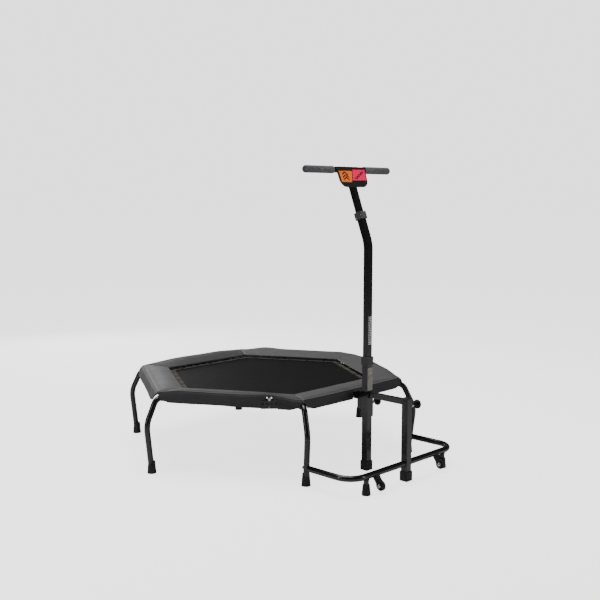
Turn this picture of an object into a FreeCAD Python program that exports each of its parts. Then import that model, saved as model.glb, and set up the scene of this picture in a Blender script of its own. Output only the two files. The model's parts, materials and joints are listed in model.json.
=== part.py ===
"""Folding six-sided mini trampoline with a castered stand and an adjustable handlebar.

All lengths are millimetres and all angles are degrees. +Z is up and the handle side is -Y.
Everything is drawn round the centre of the hexagon, and each sub-part's Placement then
moves it so that the origin lies on the floor under the middle of the whole object.
"""
import FreeCAD, Part
import math
import os
import re

import Sketcher
from FreeCAD import Placement, Rotation, Vector

SIZES = (
    ("hex_centre_y", 134.85),     # hexagon centre, from the middle of the whole object
    ("corner_angle", 60),
    # frame ring
    ("frame_apothem", 512), ("frame_tube", 30), ("frame_wall", 2), ("frame_z", 317),
    ("mitre_gap", 0.3),
    # fold line: it crosses two opposite sides this far round from their middles
    ("fold_turn", 17.5), ("fold_z", 341), ("fold_gap", 0.3), ("pad_fold_gap", 17),
    ("knuckle_radius", 7.5), ("pin_radius", 4), ("knuckle_width", 19), ("knuckle_gap", 1),
    ("saddle_length", 34), ("saddle_width", 40), ("saddle_base", 297), ("saddle_top", 333), ("web_root", 0.5),
    ("hinge_apothem", 520), ("pin_length", 64), ("pin_head_radius", 6.5), ("pin_head_width", 4),
    # jump mat and its cords
    ("mat_apothem", 428), ("mat_z", 320), ("mat_thickness", 4), ("mat_fold_gap", 1),
    ("cord_radius", 3), ("cord_start", 429), ("cord_end", 496), ("cord_pitch", 62),
    ("cord_height", 317),
    # safety pads
    ("pad_outer", 547), ("pad_inner", 426), ("pad_outer_z", 347), ("pad_inner_z", 339),
    ("pad_under", 333), ("skirt_base", 303), ("skirt_thickness", 4), ("skirt_flare", 15), ("leg_gap", 26),
    # legs
    ("leg_tube", 25), ("leg_wall", 1.5), ("leg_start", 609), ("leg_shoulder", 647),
    ("leg_knee", 699), ("leg_knee_z", 212), ("leg_floor_r", 676), ("shoulder_bend", 40),
    ("knee_bend", 110), ("leg_floor_gap", 8),
    ("socket_tube", 31), ("socket_end", 621), ("running_gap", 0.1),
    ("foot_height", 52), ("foot_top_radius", 15), ("foot_base_radius", 19.5),
    # floor stand
    ("base_tube", 25), ("base_wall", 1.5), ("base_z", 75), ("arm_x", 342), ("arm_end_y", 606.3),
    ("base_bend", 76), ("bolt_radius", 4), ("bolt_head_radius", 7), ("bolt_head_height", 5),
    ("bolt_length", 52), ("bolt_head_y", 578.4), ("bolt_gap", 0.2),
    ("stub_x", 254), ("stub_radius", 11), ("stub_floor_gap", 8), ("stub_foot_radius", 14),
    ("stub_foot_ring", 18), ("stub_foot_height", 43), ("stub_ring_height", 12),
    # casters
    ("caster_x", 200), ("caster_y", 864), ("caster_z", 32), ("wheel_radius", 21),
    ("wheel_width", 16), ("wheel_round", 3), ("axle_radius", 4), ("cheek_thickness", 2.5),
    ("fork_inside", 19), ("axle_head_radius", 6.5), ("axle_head_width", 3),
    ("fork_top_radius", 15), ("fork_tip_radius", 9),
    # posts
    ("outer_post_y", 834), ("inner_post_y", 620), ("post_side", 30), ("post_wall", 1.2),
    ("post_floor_gap", 8), ("outer_post_top", 344), ("inner_post_top", 343), ("cap_height", 5),
    ("boot_side", 37), ("boot_height", 41),
    # sleeve, bracket and crossbar
    ("sleeve_side", 38), ("sleeve_base", 235), ("slide_gap", 0.2),
    ("bracket_base", 266), ("bracket_depth", 19), ("bracket_arm_width", 30),
    ("bracket_arm_base", 306), ("bracket_arm_height", 20), ("bracket_room", 4),
    ("bar_width", 20), ("bar_height", 24), ("bar_z", 331), ("bar_wall", 1.5), ("plug_base", 296),
    # pull pins
    ("outer_pin_z", 311), ("inner_pin_z", 290), ("plunger_radius", 4), ("plunger_gap", 0.1),
    ("ferrule_radius", 7), ("ferrule_length", 24), ("knob_start", 56), ("knob_radius", 19),
    ("knob_length", 20), ("knob_neck_radius", 8), ("knob_neck_length", 7),
    ("outer_pin_tip", 6), ("inner_pin_tip", 14.1),
    # mast: socket, collars, bent tube and stem
    ("socket_base", 343.5), ("socket_top", 478), ("collar_base", 459), ("collar_top", 493),
    ("collar_side", 38), ("plate_width", 30), ("plate_base", 349), ("plate_top", 447),
    ("plate_thickness", 2.5),
    ("mast_side", 27), ("mast_wall", 1.2), ("mast_base", 200), ("mast_bend_z", 971),
    ("mast_tilt", 20.5), ("mast_bend", 150), ("mast_reach", 131.2),
    ("upper_collar_start", 108.2), ("upper_collar_end", 139.2), ("stem_side", 24),
    ("stem_wall", 1.5), ("stem_start", 81.2), ("bar_reach", 328.8),
    # handlebar and console
    ("handlebar_tube", 25), ("handlebar_wall", 1.5), ("handlebar_half", 262),
    ("grip_radius", 15.5), ("grip_inner_x", 99), ("grip_outer_x", 266), ("grip_round", 5),
    ("console_top_half", 92), ("console_low_half", 86), ("console_top", 8),
    ("console_base", 82), ("console_corner", 36), ("console_edge", 1),
    ("console_back", 12.7), ("console_thickness", 3.8), ("clamp_radius", 14.2),
    ("clamp_half", 62), ("panel_thickness", 2),
)

# outlines of the two face panels: across the console, and up from the handlebar's axis
PANELS = {"left": ((-84, -12), (-80, -61), (-17, -61), (-1, -12)),
          "right": ((6, -4.5), (-9, -53.5), (79.5, -53.5), (84, -4.5))}

doc = FreeCAD.newDocument("MiniTrampoline")
sheet = doc.addObject("Spreadsheet::Sheet", "Sizes")
for row, (alias, number) in enumerate(SIZES, start=1):
    sheet.set(f"A{row}", alias)
    sheet.set(f"B{row}", str(number))
    sheet.setAlias(f"B{row}", alias)
doc.recompute()

nodes = {}


# ---------------------------------------------------------------- helpers

def ex(expression):
    """Turn a sum written with the sheet's aliases into a document expression."""
    return re.sub(r"\b([a-z]\w*)\b(?!\()", r"Sizes.\1", str(expression))


def val(expression):
    """Read the value that an expression has now."""
    return float(sheet.evalExpression(ex(expression)))


def bind(target, **sizes):
    for prop, expression in sizes.items():
        target.setExpression(prop, ex(expression))
    return target


def locate(target, x="0", y="0", z="0", turn=None):
    """Bind where an object stands, and turn it if a rotation is given."""
    if turn is not None:
        target.Placement = Placement(Vector(0, 0, 0), turn)
    for axis, expression in zip("xyz", (x, y, z)):
        target.setExpression(f".Placement.Base.{axis}", ex(expression))
    return target


ALONG_X = Rotation(Vector(0, 1, 0), 90)
ALONG_Y = Rotation(Vector(1, 0, 0), -90)


def box(name, length, width, height, x="0", y="0", z="0"):
    """A box centred on x and y that stands on z."""
    solid = doc.addObject("Part::Box", name)
    bind(solid, Length=length, Width=width, Height=height)
    return locate(solid, f"{x} - ({length}) / 2", f"{y} - ({width}) / 2", z)


def cylinder(name, radius, height, x="0", y="0", z="0", turn=None):
    solid = doc.addObject("Part::Cylinder", name)
    bind(solid, Radius=radius, Height=height)
    return locate(solid, x, y, z, turn)


def cone(name, low_radius, high_radius, height, x="0", y="0", z="0"):
    solid = doc.addObject("Part::Cone", name)
    bind(solid, Radius1=low_radius, Radius2=high_radius, Height=height)
    return locate(solid, x, y, z)


def fuse(name, *shapes):
    solid = doc.addObject("Part::MultiFuse", name)
    solid.Shapes = list(shapes)
    return solid


def cut(name, base, *tools):
    """Take every tool away from the base."""
    solid = doc.addObject("Part::Cut", name)
    solid.Base = base
    solid.Tool = tools[0] if len(tools) == 1 else fuse(f"{name}Tools", *tools)
    return solid


def common(name, *shapes):
    solid = doc.addObject("Part::MultiCommon", name)
    solid.Shapes = list(shapes)
    return solid


def group(name, *solids):
    """Separate, alike solids that share one sub-part."""
    compound = doc.addObject("Part::Compound", name)
    compound.Links = list(solids)
    return compound


def node(label, solid, turn=0):
    """Name a sub-part, turn it round the hexagon's centre and put it in the object's frame."""
    solid.Label = label
    solid.Placement = Placement(Vector(0, 0, 0), Rotation(Vector(0, 0, 1), turn))
    solid.setExpression(".Placement.Base.y", ex("hex_centre_y"))
    nodes[label] = solid
    return solid


def wrap(name, solid):
    """Hold one finished solid, so that it can be placed as a whole."""
    return group(name, solid)


def turned(solid, angle):
    """Turn a solid round the hexagon's centre inside a group."""
    solid.Placement = Placement(Vector(0, 0, 0), Rotation(Vector(0, 0, 1), angle))
    return solid


def new_body(name):
    return doc.addObject("PartDesign::Body", name)


def new_sketch(body, name, role, offset=None):
    sketch = body.newObject("Sketcher::SketchObject", name)
    plane = [item for item in body.Origin.OriginFeatures if item.Role == role][0]
    sketch.AttachmentSupport = [(plane, "")]
    sketch.MapMode = "FlatFace"
    if offset is not None:
        sketch.setExpression(".AttachmentOffset.Base.z", ex(offset))
    return sketch


def constrain(sketch, kind, *where, value=None):
    """Add a constraint, bound to an expression where it has a value."""
    if value is None:
        return sketch.addConstraint(Sketcher.Constraint(kind, *where))
    number = sketch.addConstraint(Sketcher.Constraint(kind, *where, val(value)))
    sketch.setExpression(f"Constraints[{number}]", ex(value))
    return number


def pin_point(sketch, geometry, end, x, y):
    """Hold one point of a sketch at x, y; a zero puts it on the axis."""
    if str(x) == "0":
        constrain(sketch, "PointOnObject", geometry, end, -2)
    else:
        constrain(sketch, "DistanceX", -1, 1, geometry, end, value=x)
    if str(y) == "0":
        constrain(sketch, "PointOnObject", geometry, end, -1)
    else:
        constrain(sketch, "DistanceY", -1, 1, geometry, end, value=y)


def outline(sketch, points):
    """A closed outline of straight edges through points given as expressions."""
    places = [Vector(val(x), val(y), 0) for x, y in points]
    count = len(points)
    first = sketch.GeometryCount
    for index in range(count):
        sketch.addGeometry(Part.LineSegment(places[index], places[(index + 1) % count]))
    for index, (x, y) in enumerate(points):
        following = (index + 1) % count
        constrain(sketch, "Coincident", first + index, 2, first + following, 1)
        pin_point(sketch, first + index, 1, x, y)
    return sketch


def circle(sketch, radius, x="0", y="0"):
    shape = Part.Circle(Vector(val(x), val(y), 0), Vector(0, 0, 1), val(radius))
    number = sketch.addGeometry(shape)
    constrain(sketch, "Radius", number, value=radius)
    pin_point(sketch, number, 3, x, y)
    return number


def route(sketch, points, radii):
    """An open path of straight runs joined by tangent arcs, one arc for each inner point."""
    places = [Vector(val(x), val(y), 0) for x, y in points]
    ends = [places[0]]
    arcs = []
    for index, radius in enumerate(radii, start=1):
        before = (places[index - 1] - places[index]).normalize()
        after = (places[index + 1] - places[index]).normalize()
        half = before.getAngle(after) / 2
        reach = val(radius) / math.tan(half)
        middle = places[index] + (before + after).normalize() * (val(radius) / math.sin(half))
        start, stop = places[index] + before * reach, places[index] + after * reach
        left_turn = before.cross(after).z < 0
        arcs.append((middle, start, stop, left_turn))
        ends += [start, stop]
    ends.append(places[-1])
    lines = [sketch.addGeometry(Part.LineSegment(ends[2 * index], ends[2 * index + 1]))
             for index in range(len(points) - 1)]
    corners = [sketch.addGeometry(Part.Point(place), True) for place in places[1:-1]]
    for corner, (x, y) in zip(corners, points[1:-1]):
        pin_point(sketch, corner, 1, x, y)
    for index, ((middle, start, stop, left_turn), radius) in enumerate(zip(arcs, radii)):
        low, high = (start, stop) if left_turn else (stop, start)
        angles = [math.atan2(point.y - middle.y, point.x - middle.x) for point in (low, high)]
        if angles[1] < angles[0]:
            angles[1] += 2 * math.pi
        ring = Part.Circle(middle, Vector(0, 0, 1), val(radius))
        number = sketch.addGeometry(Part.ArcOfCircle(ring, *angles))
        first, last = (1, 2) if left_turn else (2, 1)
        constrain(sketch, "Tangent", lines[index], 2, number, first)
        constrain(sketch, "Tangent", number, last, lines[index + 1], 1)
        constrain(sketch, "Radius", number, value=radius)
    pin_point(sketch, lines[0], 1, *points[0])
    pin_point(sketch, lines[-1], 2, *points[-1])
    for index, corner in enumerate(corners):
        constrain(sketch, "PointOnObject", corner, 1, lines[index])
        constrain(sketch, "PointOnObject", corner, 1, lines[index + 1])
    return sketch


def pad(body, name, sketch, length):
    """Raise a sketch by the same amount to both sides."""
    feature = body.newObject("PartDesign::Pad", name)
    feature.Profile = sketch
    feature.SideType = "Symmetric"
    return bind(feature, Length=length)


def lathe(name, profile):
    """Turn a closed outline, given as (radius, height), round the Z axis."""
    body = new_body(name)
    sketch = outline(new_sketch(body, f"{name}Profile", "XZ_Plane"), profile)
    feature = body.newObject("PartDesign::Revolution", f"{name}Turn")
    feature.Profile = sketch
    feature.ReferenceAxis = (sketch, ["V_Axis"])
    feature.Angle = 360
    return body


def pipe(name, path_plane, points, radii, profile_plane, offset, draw_profile):
    """Sweep a profile along a route of runs and arcs."""
    body = new_body(name)
    path = route(new_sketch(body, f"{name}Path", path_plane), points, radii)
    profile = new_sketch(body, f"{name}Profile", profile_plane, offset)
    draw_profile(profile)
    feature = body.newObject("PartDesign::AdditivePipe", f"{name}Sweep")
    feature.Profile = profile
    feature.Spine = path
    return body


def square_tube(name, side, wall, base, top, y):
    """An upright square tube centred on x = 0."""
    height = f"{top} - {base}"
    outside = box(f"{name}Outside", side, side, height, y=y, z=base)
    inner = f"{side} - 2 * {wall}"
    inside = box(f"{name}Inside", inner, inner, f"{height} + 2", y=y, z=f"{base} - 1")
    return outside, inside


# ---------------------------------------------------------------- frame ring

SIDE_ANGLE = {"front_left": 210, "front": 270, "front_right": 330,
              "rear_right": 30, "rear": 90, "rear_left": 150}
CORNER_ANGLE = {"right": 0, "rear_right": 60, "rear_left": 120,
                "left": 180, "front_left": 240, "front_right": 300}
SIDE_REACH = "tan(corner_angle / 2)"


def sector(name):
    """The sixth of the hexagon that faces +X, drawn back by the mitre gap."""
    solid = doc.addObject("Part::Prism", name)
    solid.Polygon = 3
    bind(solid, Circumradius="pad_outer", Height="pad_outer")
    turn = Rotation(Vector(0, 0, 1), 180)
    return locate(solid, "pad_outer + mitre_gap / sin(corner_angle / 2)", "0", "0", turn)


def fold_side(name, gap, half):
    """The half of space on one side of the fold line: half is +1 past the line, -1 before it."""
    solid = doc.addObject("Part::Box", name)
    bind(solid, Length="4 * pad_outer", Width="4 * pad_outer", Height="2 * pad_outer")
    solid.Placement = Placement(Vector(0, 0, 0), Rotation(Vector(0, 0, 1), val("fold_turn")))
    shift = f"({gap})" if half > 0 else f"-({gap} + 4 * pad_outer)"
    locate(solid, f"-sin(fold_turn) * {shift} - cos(fold_turn) * 2 * pad_outer",
           f"cos(fold_turn) * {shift} - sin(fold_turn) * 2 * pad_outer", "-pad_outer / 2")
    return solid


def frame_tube(name):
    """One mitred side of the ring, facing +X."""
    reach = f"frame_apothem * {SIDE_REACH} + frame_tube"
    run = {"height": f"2 * {reach}", "x": "frame_apothem", "y": f"-({reach})",
           "z": "frame_z", "turn": ALONG_Y}
    outside = cylinder(f"{name}Outside", "frame_tube / 2", **run)
    inside = cylinder(f"{name}Inside", "frame_tube / 2 - frame_wall", **run)
    return common(f"{name}Mitred", cut(f"{name}Tube", outside, inside), sector(f"{name}Sector"))


def frame_stub(name, half):
    """The stretch of a folding side on one side of the fold line."""
    return common(f"{name}Stub", frame_tube(name), fold_side(f"{name}Fold", "fold_gap", half))


def make_frame():
    for side in ("front", "front_right", "rear", "rear_left"):
        node(f"frame_tube_{side}", frame_tube(f"Frame_{side}"), SIDE_ANGLE[side])
    for label, left_half in (("front", 1), ("rear", -1)):
        left = frame_stub(f"StubLeft_{label}", left_half)
        right = frame_stub(f"StubRight_{label}", -left_half)
        node(f"frame_stubs_{label}", group(f"Stubs_{label}",
                                           turned(left, SIDE_ANGLE["front_left"]),
                                           turned(right, SIDE_ANGLE["rear_right"])))


# ---------------------------------------------------------------- fold hinges

def knuckle(name, middle, width, radius="knuckle_radius"):
    """A cylinder on the fold axis, along +X of the fold line's own frame."""
    return cylinder(name, radius, width, x=f"{middle} - ({width}) / 2", z="fold_z", turn=ALONG_X)


def hinge_leaf(name, half):
    """Saddle over a tube end with its knuckles, on the side facing +X.

    It is drawn along the fold line (+X) with the tube crossing it, then turned by fold_turn.
    """
    crossing = "hinge_apothem / cos(fold_turn)"
    depth = "saddle_length"
    height = "saddle_top - saddle_base"
    saddle = box(f"{name}Saddle", "saddle_width", depth, height, x=crossing,
                 y=f"{half} * (fold_gap + saddle_length / 2)", z="saddle_base")
    step = "(knuckle_width + knuckle_gap)"
    places = (f"{crossing} - {step}", f"{crossing} + {step}") if half > 0 else (crossing,)
    parts = [saddle]
    for number, place in enumerate(places):
        parts.append(knuckle(f"{name}Knuckle{number}", place, "knuckle_width"))
        parts.append(box(f"{name}Web{number}", "knuckle_width", "knuckle_radius - fold_gap",
                         "fold_z - saddle_top + web_root", x=place,
                         y=f"{half} * (fold_gap + knuckle_radius) / 2",
                         z="saddle_top - web_root"))
    leaf = fuse(f"{name}Solid", *parts)
    leaf.Placement = Placement(Vector(0, 0, 0), Rotation(Vector(0, 0, 1), val("fold_turn")))
    hole = knuckle(f"{name}Hole", crossing, "pin_length * 2", "pin_radius + running_gap")
    hole_turned = turned(wrap(f"{name}HoleTurn", hole), val("fold_turn"))
    run = {"height": "4 * saddle_length", "x": "frame_apothem",
           "y": "frame_apothem * tan(fold_turn) - 2 * saddle_length",
           "z": "frame_z", "turn": ALONG_Y}
    return cut(f"{name}Leaf", leaf, hole_turned, cylinder(f"{name}Bore", "frame_tube / 2", **run))


def hinge_pin(name):
    """Headed pin along the fold axis."""
    crossing = "hinge_apothem / cos(fold_turn)"
    shank = knuckle(f"{name}Shank", crossing, "pin_length", "pin_radius")
    head = knuckle(f"{name}Head", f"{crossing} + (pin_length + pin_head_width) / 2",
                   "pin_head_width", "pin_head_radius")
    return fuse(f"{name}Pin", shank, head)


def make_hinges():
    for label, left_half in (("front", 1), ("rear", -1)):
        left = hinge_leaf(f"HingeLeft_{label}", left_half)
        right = hinge_leaf(f"HingeRight_{label}", -left_half)
        node(f"fold_hinge_leaves_{label}", group(f"Leaves_{label}",
                                                 turned(left, SIDE_ANGLE["front_left"]),
                                                 turned(right, SIDE_ANGLE["rear_right"])))
    pins = [turned(hinge_pin(f"Hinge{side}"), SIDE_ANGLE[side] + val("fold_turn"))
            for side in ("front_left", "rear_right")]
    node("fold_hinge_pins", group("HingePins", *pins))


# ---------------------------------------------------------------- mat, cords and pads

def mat_half(name, half):
    """Half of the six-sided mat, cut along the fold line of the side that faces +X."""
    plate = doc.addObject("Part::Prism", f"{name}Plate")
    plate.Polygon = 6
    bind(plate, Circumradius="mat_apothem / cos(corner_angle / 2)", Height="mat_thickness")
    locate(plate, z="mat_z", turn=Rotation(Vector(0, 0, 1), 30))
    return common(f"{name}Half", plate, fold_side(f"{name}Fold", "mat_fold_gap", half))


def cords(name, sides, half):
    """Straight runs of the elastic cord between the mat's hem and the ring."""
    solids = []
    pitch = val("cord_pitch")
    fold_y = val("cord_end * tan(fold_turn)")
    room = val("saddle_length + 2 * cord_radius")
    for side, folds in sides:
        count = int(val(f"mat_apothem * {SIDE_REACH}") // pitch)
        for step in range(-count, count + 1):
            if folds and half * folds * (step * pitch - fold_y) < room:
                continue
            cord = cylinder(f"{name}_{side}_{step + count}", "cord_radius", "cord_end - cord_start",
                            x="cord_start", y=f"{step} * cord_pitch", z="cord_height", turn=ALONG_X)
            solids.append(turned(wrap(f"{cord.Name}Turn", cord), SIDE_ANGLE[side]))
    return group(f"{name}Cords", *solids)


def pad_section(name, bracket=False):
    """Top pad with its hanging skirt, mitred at both corners and open there for the legs."""
    body = new_body(f"{name}Body")
    sketch = outline(new_sketch(body, f"{name}Section", "XZ_Plane"), (
        ("pad_inner", "pad_under"), ("pad_outer - skirt_thickness", "pad_under"),
        ("pad_outer + skirt_flare - skirt_thickness", "skirt_base"),
        ("pad_outer + skirt_flare", "skirt_base"),
        ("pad_outer", "pad_outer_z"), ("pad_inner", "pad_inner_z")))
    pad(body, f"{name}Run", sketch, "2 * pad_outer")
    mitred = common(f"{name}Mitred", body, sector(f"{name}Sector"))
    openings = []
    for number, sign in enumerate((1, -1)):
        corner = f"pad_outer * {SIDE_REACH}"
        openings.append(box(f"{name}Opening{number}", "2 * (skirt_flare + skirt_thickness)",
                            "2 * leg_gap", "pad_under - skirt_base + 1", x="pad_outer",
                            y=f"{sign} * {corner}", z="skirt_base - 1"))
    if bracket:
        openings.append(box(f"{name}Bracket", "2 * (skirt_flare + skirt_thickness)",
                            "bracket_arm_width + 2 * bracket_room",
                            "pad_under - skirt_base + 1", x="pad_outer", z="skirt_base - 1"))
    return cut(f"{name}Pad", mitred, *openings)


def pad_stub(name, half):
    """A pad of a folding side, on one side of the fold line, with room for the hinge."""
    fold_y = "hinge_apothem * tan(fold_turn)"
    notch = box(f"{name}Notch", "2 * (skirt_flare + skirt_thickness)",
                "2 * saddle_length + 3 * skirt_thickness", "pad_under - skirt_base + 1",
                x="pad_outer", y=fold_y, z="skirt_base - 1")
    part = common(f"{name}Part", pad_section(name), fold_side(f"{name}Fold", "pad_fold_gap", half))
    return cut(f"{name}Stub", part, notch)


def make_soft_parts():
    # seen from the front-left side the front half lies past the fold line
    node("jump_mat_front", mat_half("MatFront", 1), SIDE_ANGLE["front_left"])
    node("jump_mat_rear", mat_half("MatRear", -1), SIDE_ANGLE["front_left"])
    node("mat_cords_front", cords("Front", (("front", 0), ("front_right", 0),
                                            ("front_left", 1), ("rear_right", -1)), 1))
    node("mat_cords_rear", cords("Rear", (("rear", 0), ("rear_left", 0),
                                          ("front_left", 1), ("rear_right", -1)), -1))
    for side in ("front", "front_right", "rear", "rear_left"):
        section = pad_section(f"Pad_{side}", bracket=side == "front")
        node(f"pad_{side}", section, SIDE_ANGLE[side])
    for label, half in (("front", 1), ("rear", -1)):
        left = turned(pad_stub(f"PadLeft_{label}", half), SIDE_ANGLE["front_left"])
        right = turned(pad_stub(f"PadRight_{label}", -half), SIDE_ANGLE["rear_right"])
        node(f"hinge_pads_{label}", group(f"HingePads_{label}", left, right))


# ---------------------------------------------------------------- legs

def leg(name):
    """Bent leg tube in the plane of a corner that points along +X."""
    def ring(sketch):
        circle(sketch, "leg_tube / 2", y="frame_z")
        circle(sketch, "leg_tube / 2 - leg_wall", y="frame_z")
    points = (("leg_start", "frame_z"), ("leg_shoulder", "frame_z"),
              ("leg_knee", "leg_knee_z"), ("leg_floor_r", "leg_floor_gap"))
    return pipe(name, "XZ_Plane", points, ("shoulder_bend", "knee_bend"),
                "YZ_Plane", "leg_start", ring)


def leg_foot(name):
    """Tapered rubber foot with a blind bore, in the line of the leg above it."""
    outside = cone(f"{name}Cone", "foot_base_radius", "foot_top_radius", "foot_height",
                   x="leg_floor_r")
    lean = math.degrees(math.atan2(val("leg_knee - leg_floor_r"),
                                   val("leg_knee_z - leg_floor_gap")))
    bore = cylinder(f"{name}Bore", "leg_tube / 2", "2 * foot_height", x="leg_floor_r",
                    z="leg_floor_gap", turn=Rotation(Vector(0, 1, 0), lean))
    return cut(f"{name}Foot", outside, bore)


def leg_socket(name):
    """Short tube welded to the outside of a ring corner; it takes the top of the leg."""
    run = {"height": "socket_end - leg_start", "x": "leg_start", "z": "frame_z",
           "turn": ALONG_X}
    outside = cylinder(f"{name}Outside", "socket_tube / 2", **run)
    inside = cylinder(f"{name}Inside", "leg_tube / 2", **run)
    return cut(f"{name}Socket", outside, inside)


def make_legs():
    halves = {"front": ("front_left", "front_right", "right"),
              "rear": ("rear_right", "rear_left", "left")}
    for half, corners in halves.items():
        for corner in corners:
            solid = leg(f"Leg_{corner}")
            if corner in ("front_left", "front_right"):
                sign = -1 if corner == "front_left" else 1
                hole = cylinder(f"BoltHole_{corner}", "bolt_radius + bolt_gap", "base_tube * 4",
                                y="-(arm_end_y + base_tube)", x=f"{sign} * arm_x", z="base_z",
                                turn=ALONG_Y)
                back = wrap(f"BoltHoleTurn_{corner}", hole)
                turned(back, -CORNER_ANGLE[corner])
                solid = cut(f"LegDrilled_{corner}", solid, back)
            node(f"leg_{corner}", solid, CORNER_ANGLE[corner])
        node(f"leg_feet_{half}", group(f"LegFeet_{half}", *(
            turned(leg_foot(f"LegFoot_{corner}"), CORNER_ANGLE[corner]) for corner in corners)))
        node(f"leg_sockets_{half}", group(f"LegSockets_{half}", *(
            turned(leg_socket(f"LegSocket_{corner}"), CORNER_ANGLE[corner])
            for corner in corners)))


# ---------------------------------------------------------------- floor stand

def across_tube(name, radius, y="-outer_post_y", z="base_z", half="arm_x"):
    """A straight cylinder along X, used to cope what meets a tube."""
    return cylinder(name, radius, f"2 * {half}", x=f"-({half})", y=y, z=z, turn=ALONG_X)


def make_base():
    def ring(sketch):
        circle(sketch, "base_tube / 2", x="-arm_x", y="base_z")
        circle(sketch, "base_tube / 2 - base_wall", x="-arm_x", y="base_z")
    body = new_body("BaseTube")
    points = (("-arm_x", "-arm_end_y"), ("-arm_x", "-outer_post_y"),
              ("arm_x", "-outer_post_y"), ("arm_x", "-arm_end_y"))
    path = new_sketch(body, "BaseTubePath", "XY_Plane", "base_z")
    route(path, points, ("base_bend", "base_bend"))
    profile = new_sketch(body, "BaseTubeProfile", "XZ_Plane", "arm_end_y")
    ring(profile)
    sweep = body.newObject("PartDesign::AdditivePipe", "BaseTubeSweep")
    sweep.Profile = profile
    sweep.Spine = path
    node("base_tube", body)

    bolts = []
    for side, sign in (("Left", -1), ("Right", 1)):
        shank = cylinder(f"Bolt{side}", "bolt_radius", "bolt_length", x=f"{sign} * arm_x",
                         y="-bolt_head_y - bolt_length", z="base_z", turn=ALONG_Y)
        head = doc.addObject("Part::Prism", f"BoltHead{side}")
        head.Polygon = 6
        bind(head, Circumradius="bolt_head_radius", Height="bolt_head_height")
        locate(head, f"{sign} * arm_x", "-bolt_head_y", "base_z", ALONG_Y)
        bolts.append(fuse(f"BaseBolt{side}", shank, head))
    node("base_bolts", group("BaseBolts", *bolts))

    stubs, feet = [], []
    for side, sign in (("Left", -1), ("Right", 1)):
        place = {"x": f"{sign} * stub_x", "y": "-outer_post_y"}
        post = cylinder(f"Stub{side}", "stub_radius", "base_z - stub_floor_gap",
                        z="stub_floor_gap", **place)
        stubs.append(cut(f"StubCoped{side}", post, across_tube(f"StubCope{side}", "base_tube / 2")))
        ring_foot = cylinder(f"StubRing{side}", "stub_foot_ring", "stub_ring_height", **place)
        upper = cone(f"StubFoot{side}", "stub_foot_ring - 1", "stub_foot_radius",
                     "stub_foot_height - stub_ring_height", z="stub_ring_height", **place)
        bore = cylinder(f"StubBore{side}", "stub_radius", "stub_foot_height",
                        z="stub_floor_gap", **place)
        feet.append(cut(f"StubFootBored{side}", fuse(f"StubFootBody{side}", ring_foot, upper), bore))
    node("base_stubs", group("BaseStubs", *stubs))
    node("base_feet", group("BaseFeet", *feet))


def caster_fork(name, sign):
    """Two tapering cheeks and the bridge between them, coped onto the base tube."""
    width = "fork_inside + 2 * cheek_thickness"
    middle = f"{sign} * caster_x"
    start = f"{middle} - ({width}) / 2"
    drop = "base_z - caster_z"
    reach = "caster_y - outer_post_y"
    top = cylinder(f"{name}Top", "fork_top_radius", width, x=start, y="-outer_post_y",
                   z="base_z", turn=ALONG_X)
    tip = cylinder(f"{name}Tip", "fork_tip_radius", width, x=start, y="-caster_y",
                   z="caster_z", turn=ALONG_X)
    blade = box(f"{name}Blade", width, "2 * fork_tip_radius", f"sqrt(({drop})^2 + ({reach})^2)")
    lean = math.degrees(math.atan2(val(reach), val(drop)))
    turn = Rotation(Vector(1, 0, 0), -lean)
    half = val("fork_tip_radius")
    blade.Placement = Placement(Vector(0, 0, 0), turn)
    locate(blade, start, f"-caster_y - {half * math.cos(math.radians(lean))}",
           f"caster_z + {half * math.sin(math.radians(lean))}")
    wheel_room = cylinder(f"{name}Room", "wheel_radius + 3", "fork_inside",
                          x=f"{middle} - fork_inside / 2", y="-caster_y", z="caster_z",
                          turn=ALONG_X)
    slot = box(f"{name}Slot", "fork_inside", "4 * fork_tip_radius", "caster_z", x=middle,
               y="-caster_y", z="0")
    cope = across_tube(f"{name}Cope", "base_tube / 2")
    half_top = box(f"{name}Upper", f"{width} + 2", "4 * fork_top_radius", "2 * fork_top_radius",
                   x=middle, y="-outer_post_y", z="base_z")
    hole = across_tube(f"{name}Hole", "axle_radius", "-caster_y", "caster_z")
    return cut(f"{name}Fork", fuse(f"{name}Solid", top, tip, blade),
               wheel_room, slot, cope, half_top, hole)


def make_casters():
    axles = []
    for side, sign in (("left", -1), ("right", 1)):
        node(f"caster_fork_{side}", caster_fork(f"Caster_{side}", sign))
        middle = f"{sign} * caster_x"
        width = "fork_inside + 2 * cheek_thickness"
        shaft = cylinder(f"Axle_{side}", "axle_radius", f"{width} + 2 * axle_head_width",
                         x=f"{middle} - ({width}) / 2 - axle_head_width", y="-caster_y",
                         z="caster_z", turn=ALONG_X)
        heads = [cylinder(f"AxleHead_{side}{number}", "axle_head_radius", "axle_head_width",
                          x=f"{middle} + {place}", y="-caster_y", z="caster_z", turn=ALONG_X)
                 for number, place in enumerate((f"({width}) / 2",
                                                 f"-({width}) / 2 - axle_head_width"))]
        axles.append(fuse(f"CasterAxle_{side}", shaft, *heads))
        wheel = lathe(f"Wheel_{side}", (
            ("axle_radius + running_gap", "-wheel_width / 2"),
            ("wheel_radius - wheel_round", "-wheel_width / 2"),
            ("wheel_radius", "-wheel_width / 2 + wheel_round"),
            ("wheel_radius", "wheel_width / 2 - wheel_round"),
            ("wheel_radius - wheel_round", "wheel_width / 2"),
            ("axle_radius + running_gap", "wheel_width / 2")))
        locate(wheel, middle, "-caster_y", "caster_z", ALONG_X)
        node(f"caster_wheel_{side}", wrap(f"WheelPlaced_{side}", wheel))
    node("caster_axles", group("CasterAxles", *axles))


# ---------------------------------------------------------------- posts

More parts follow.
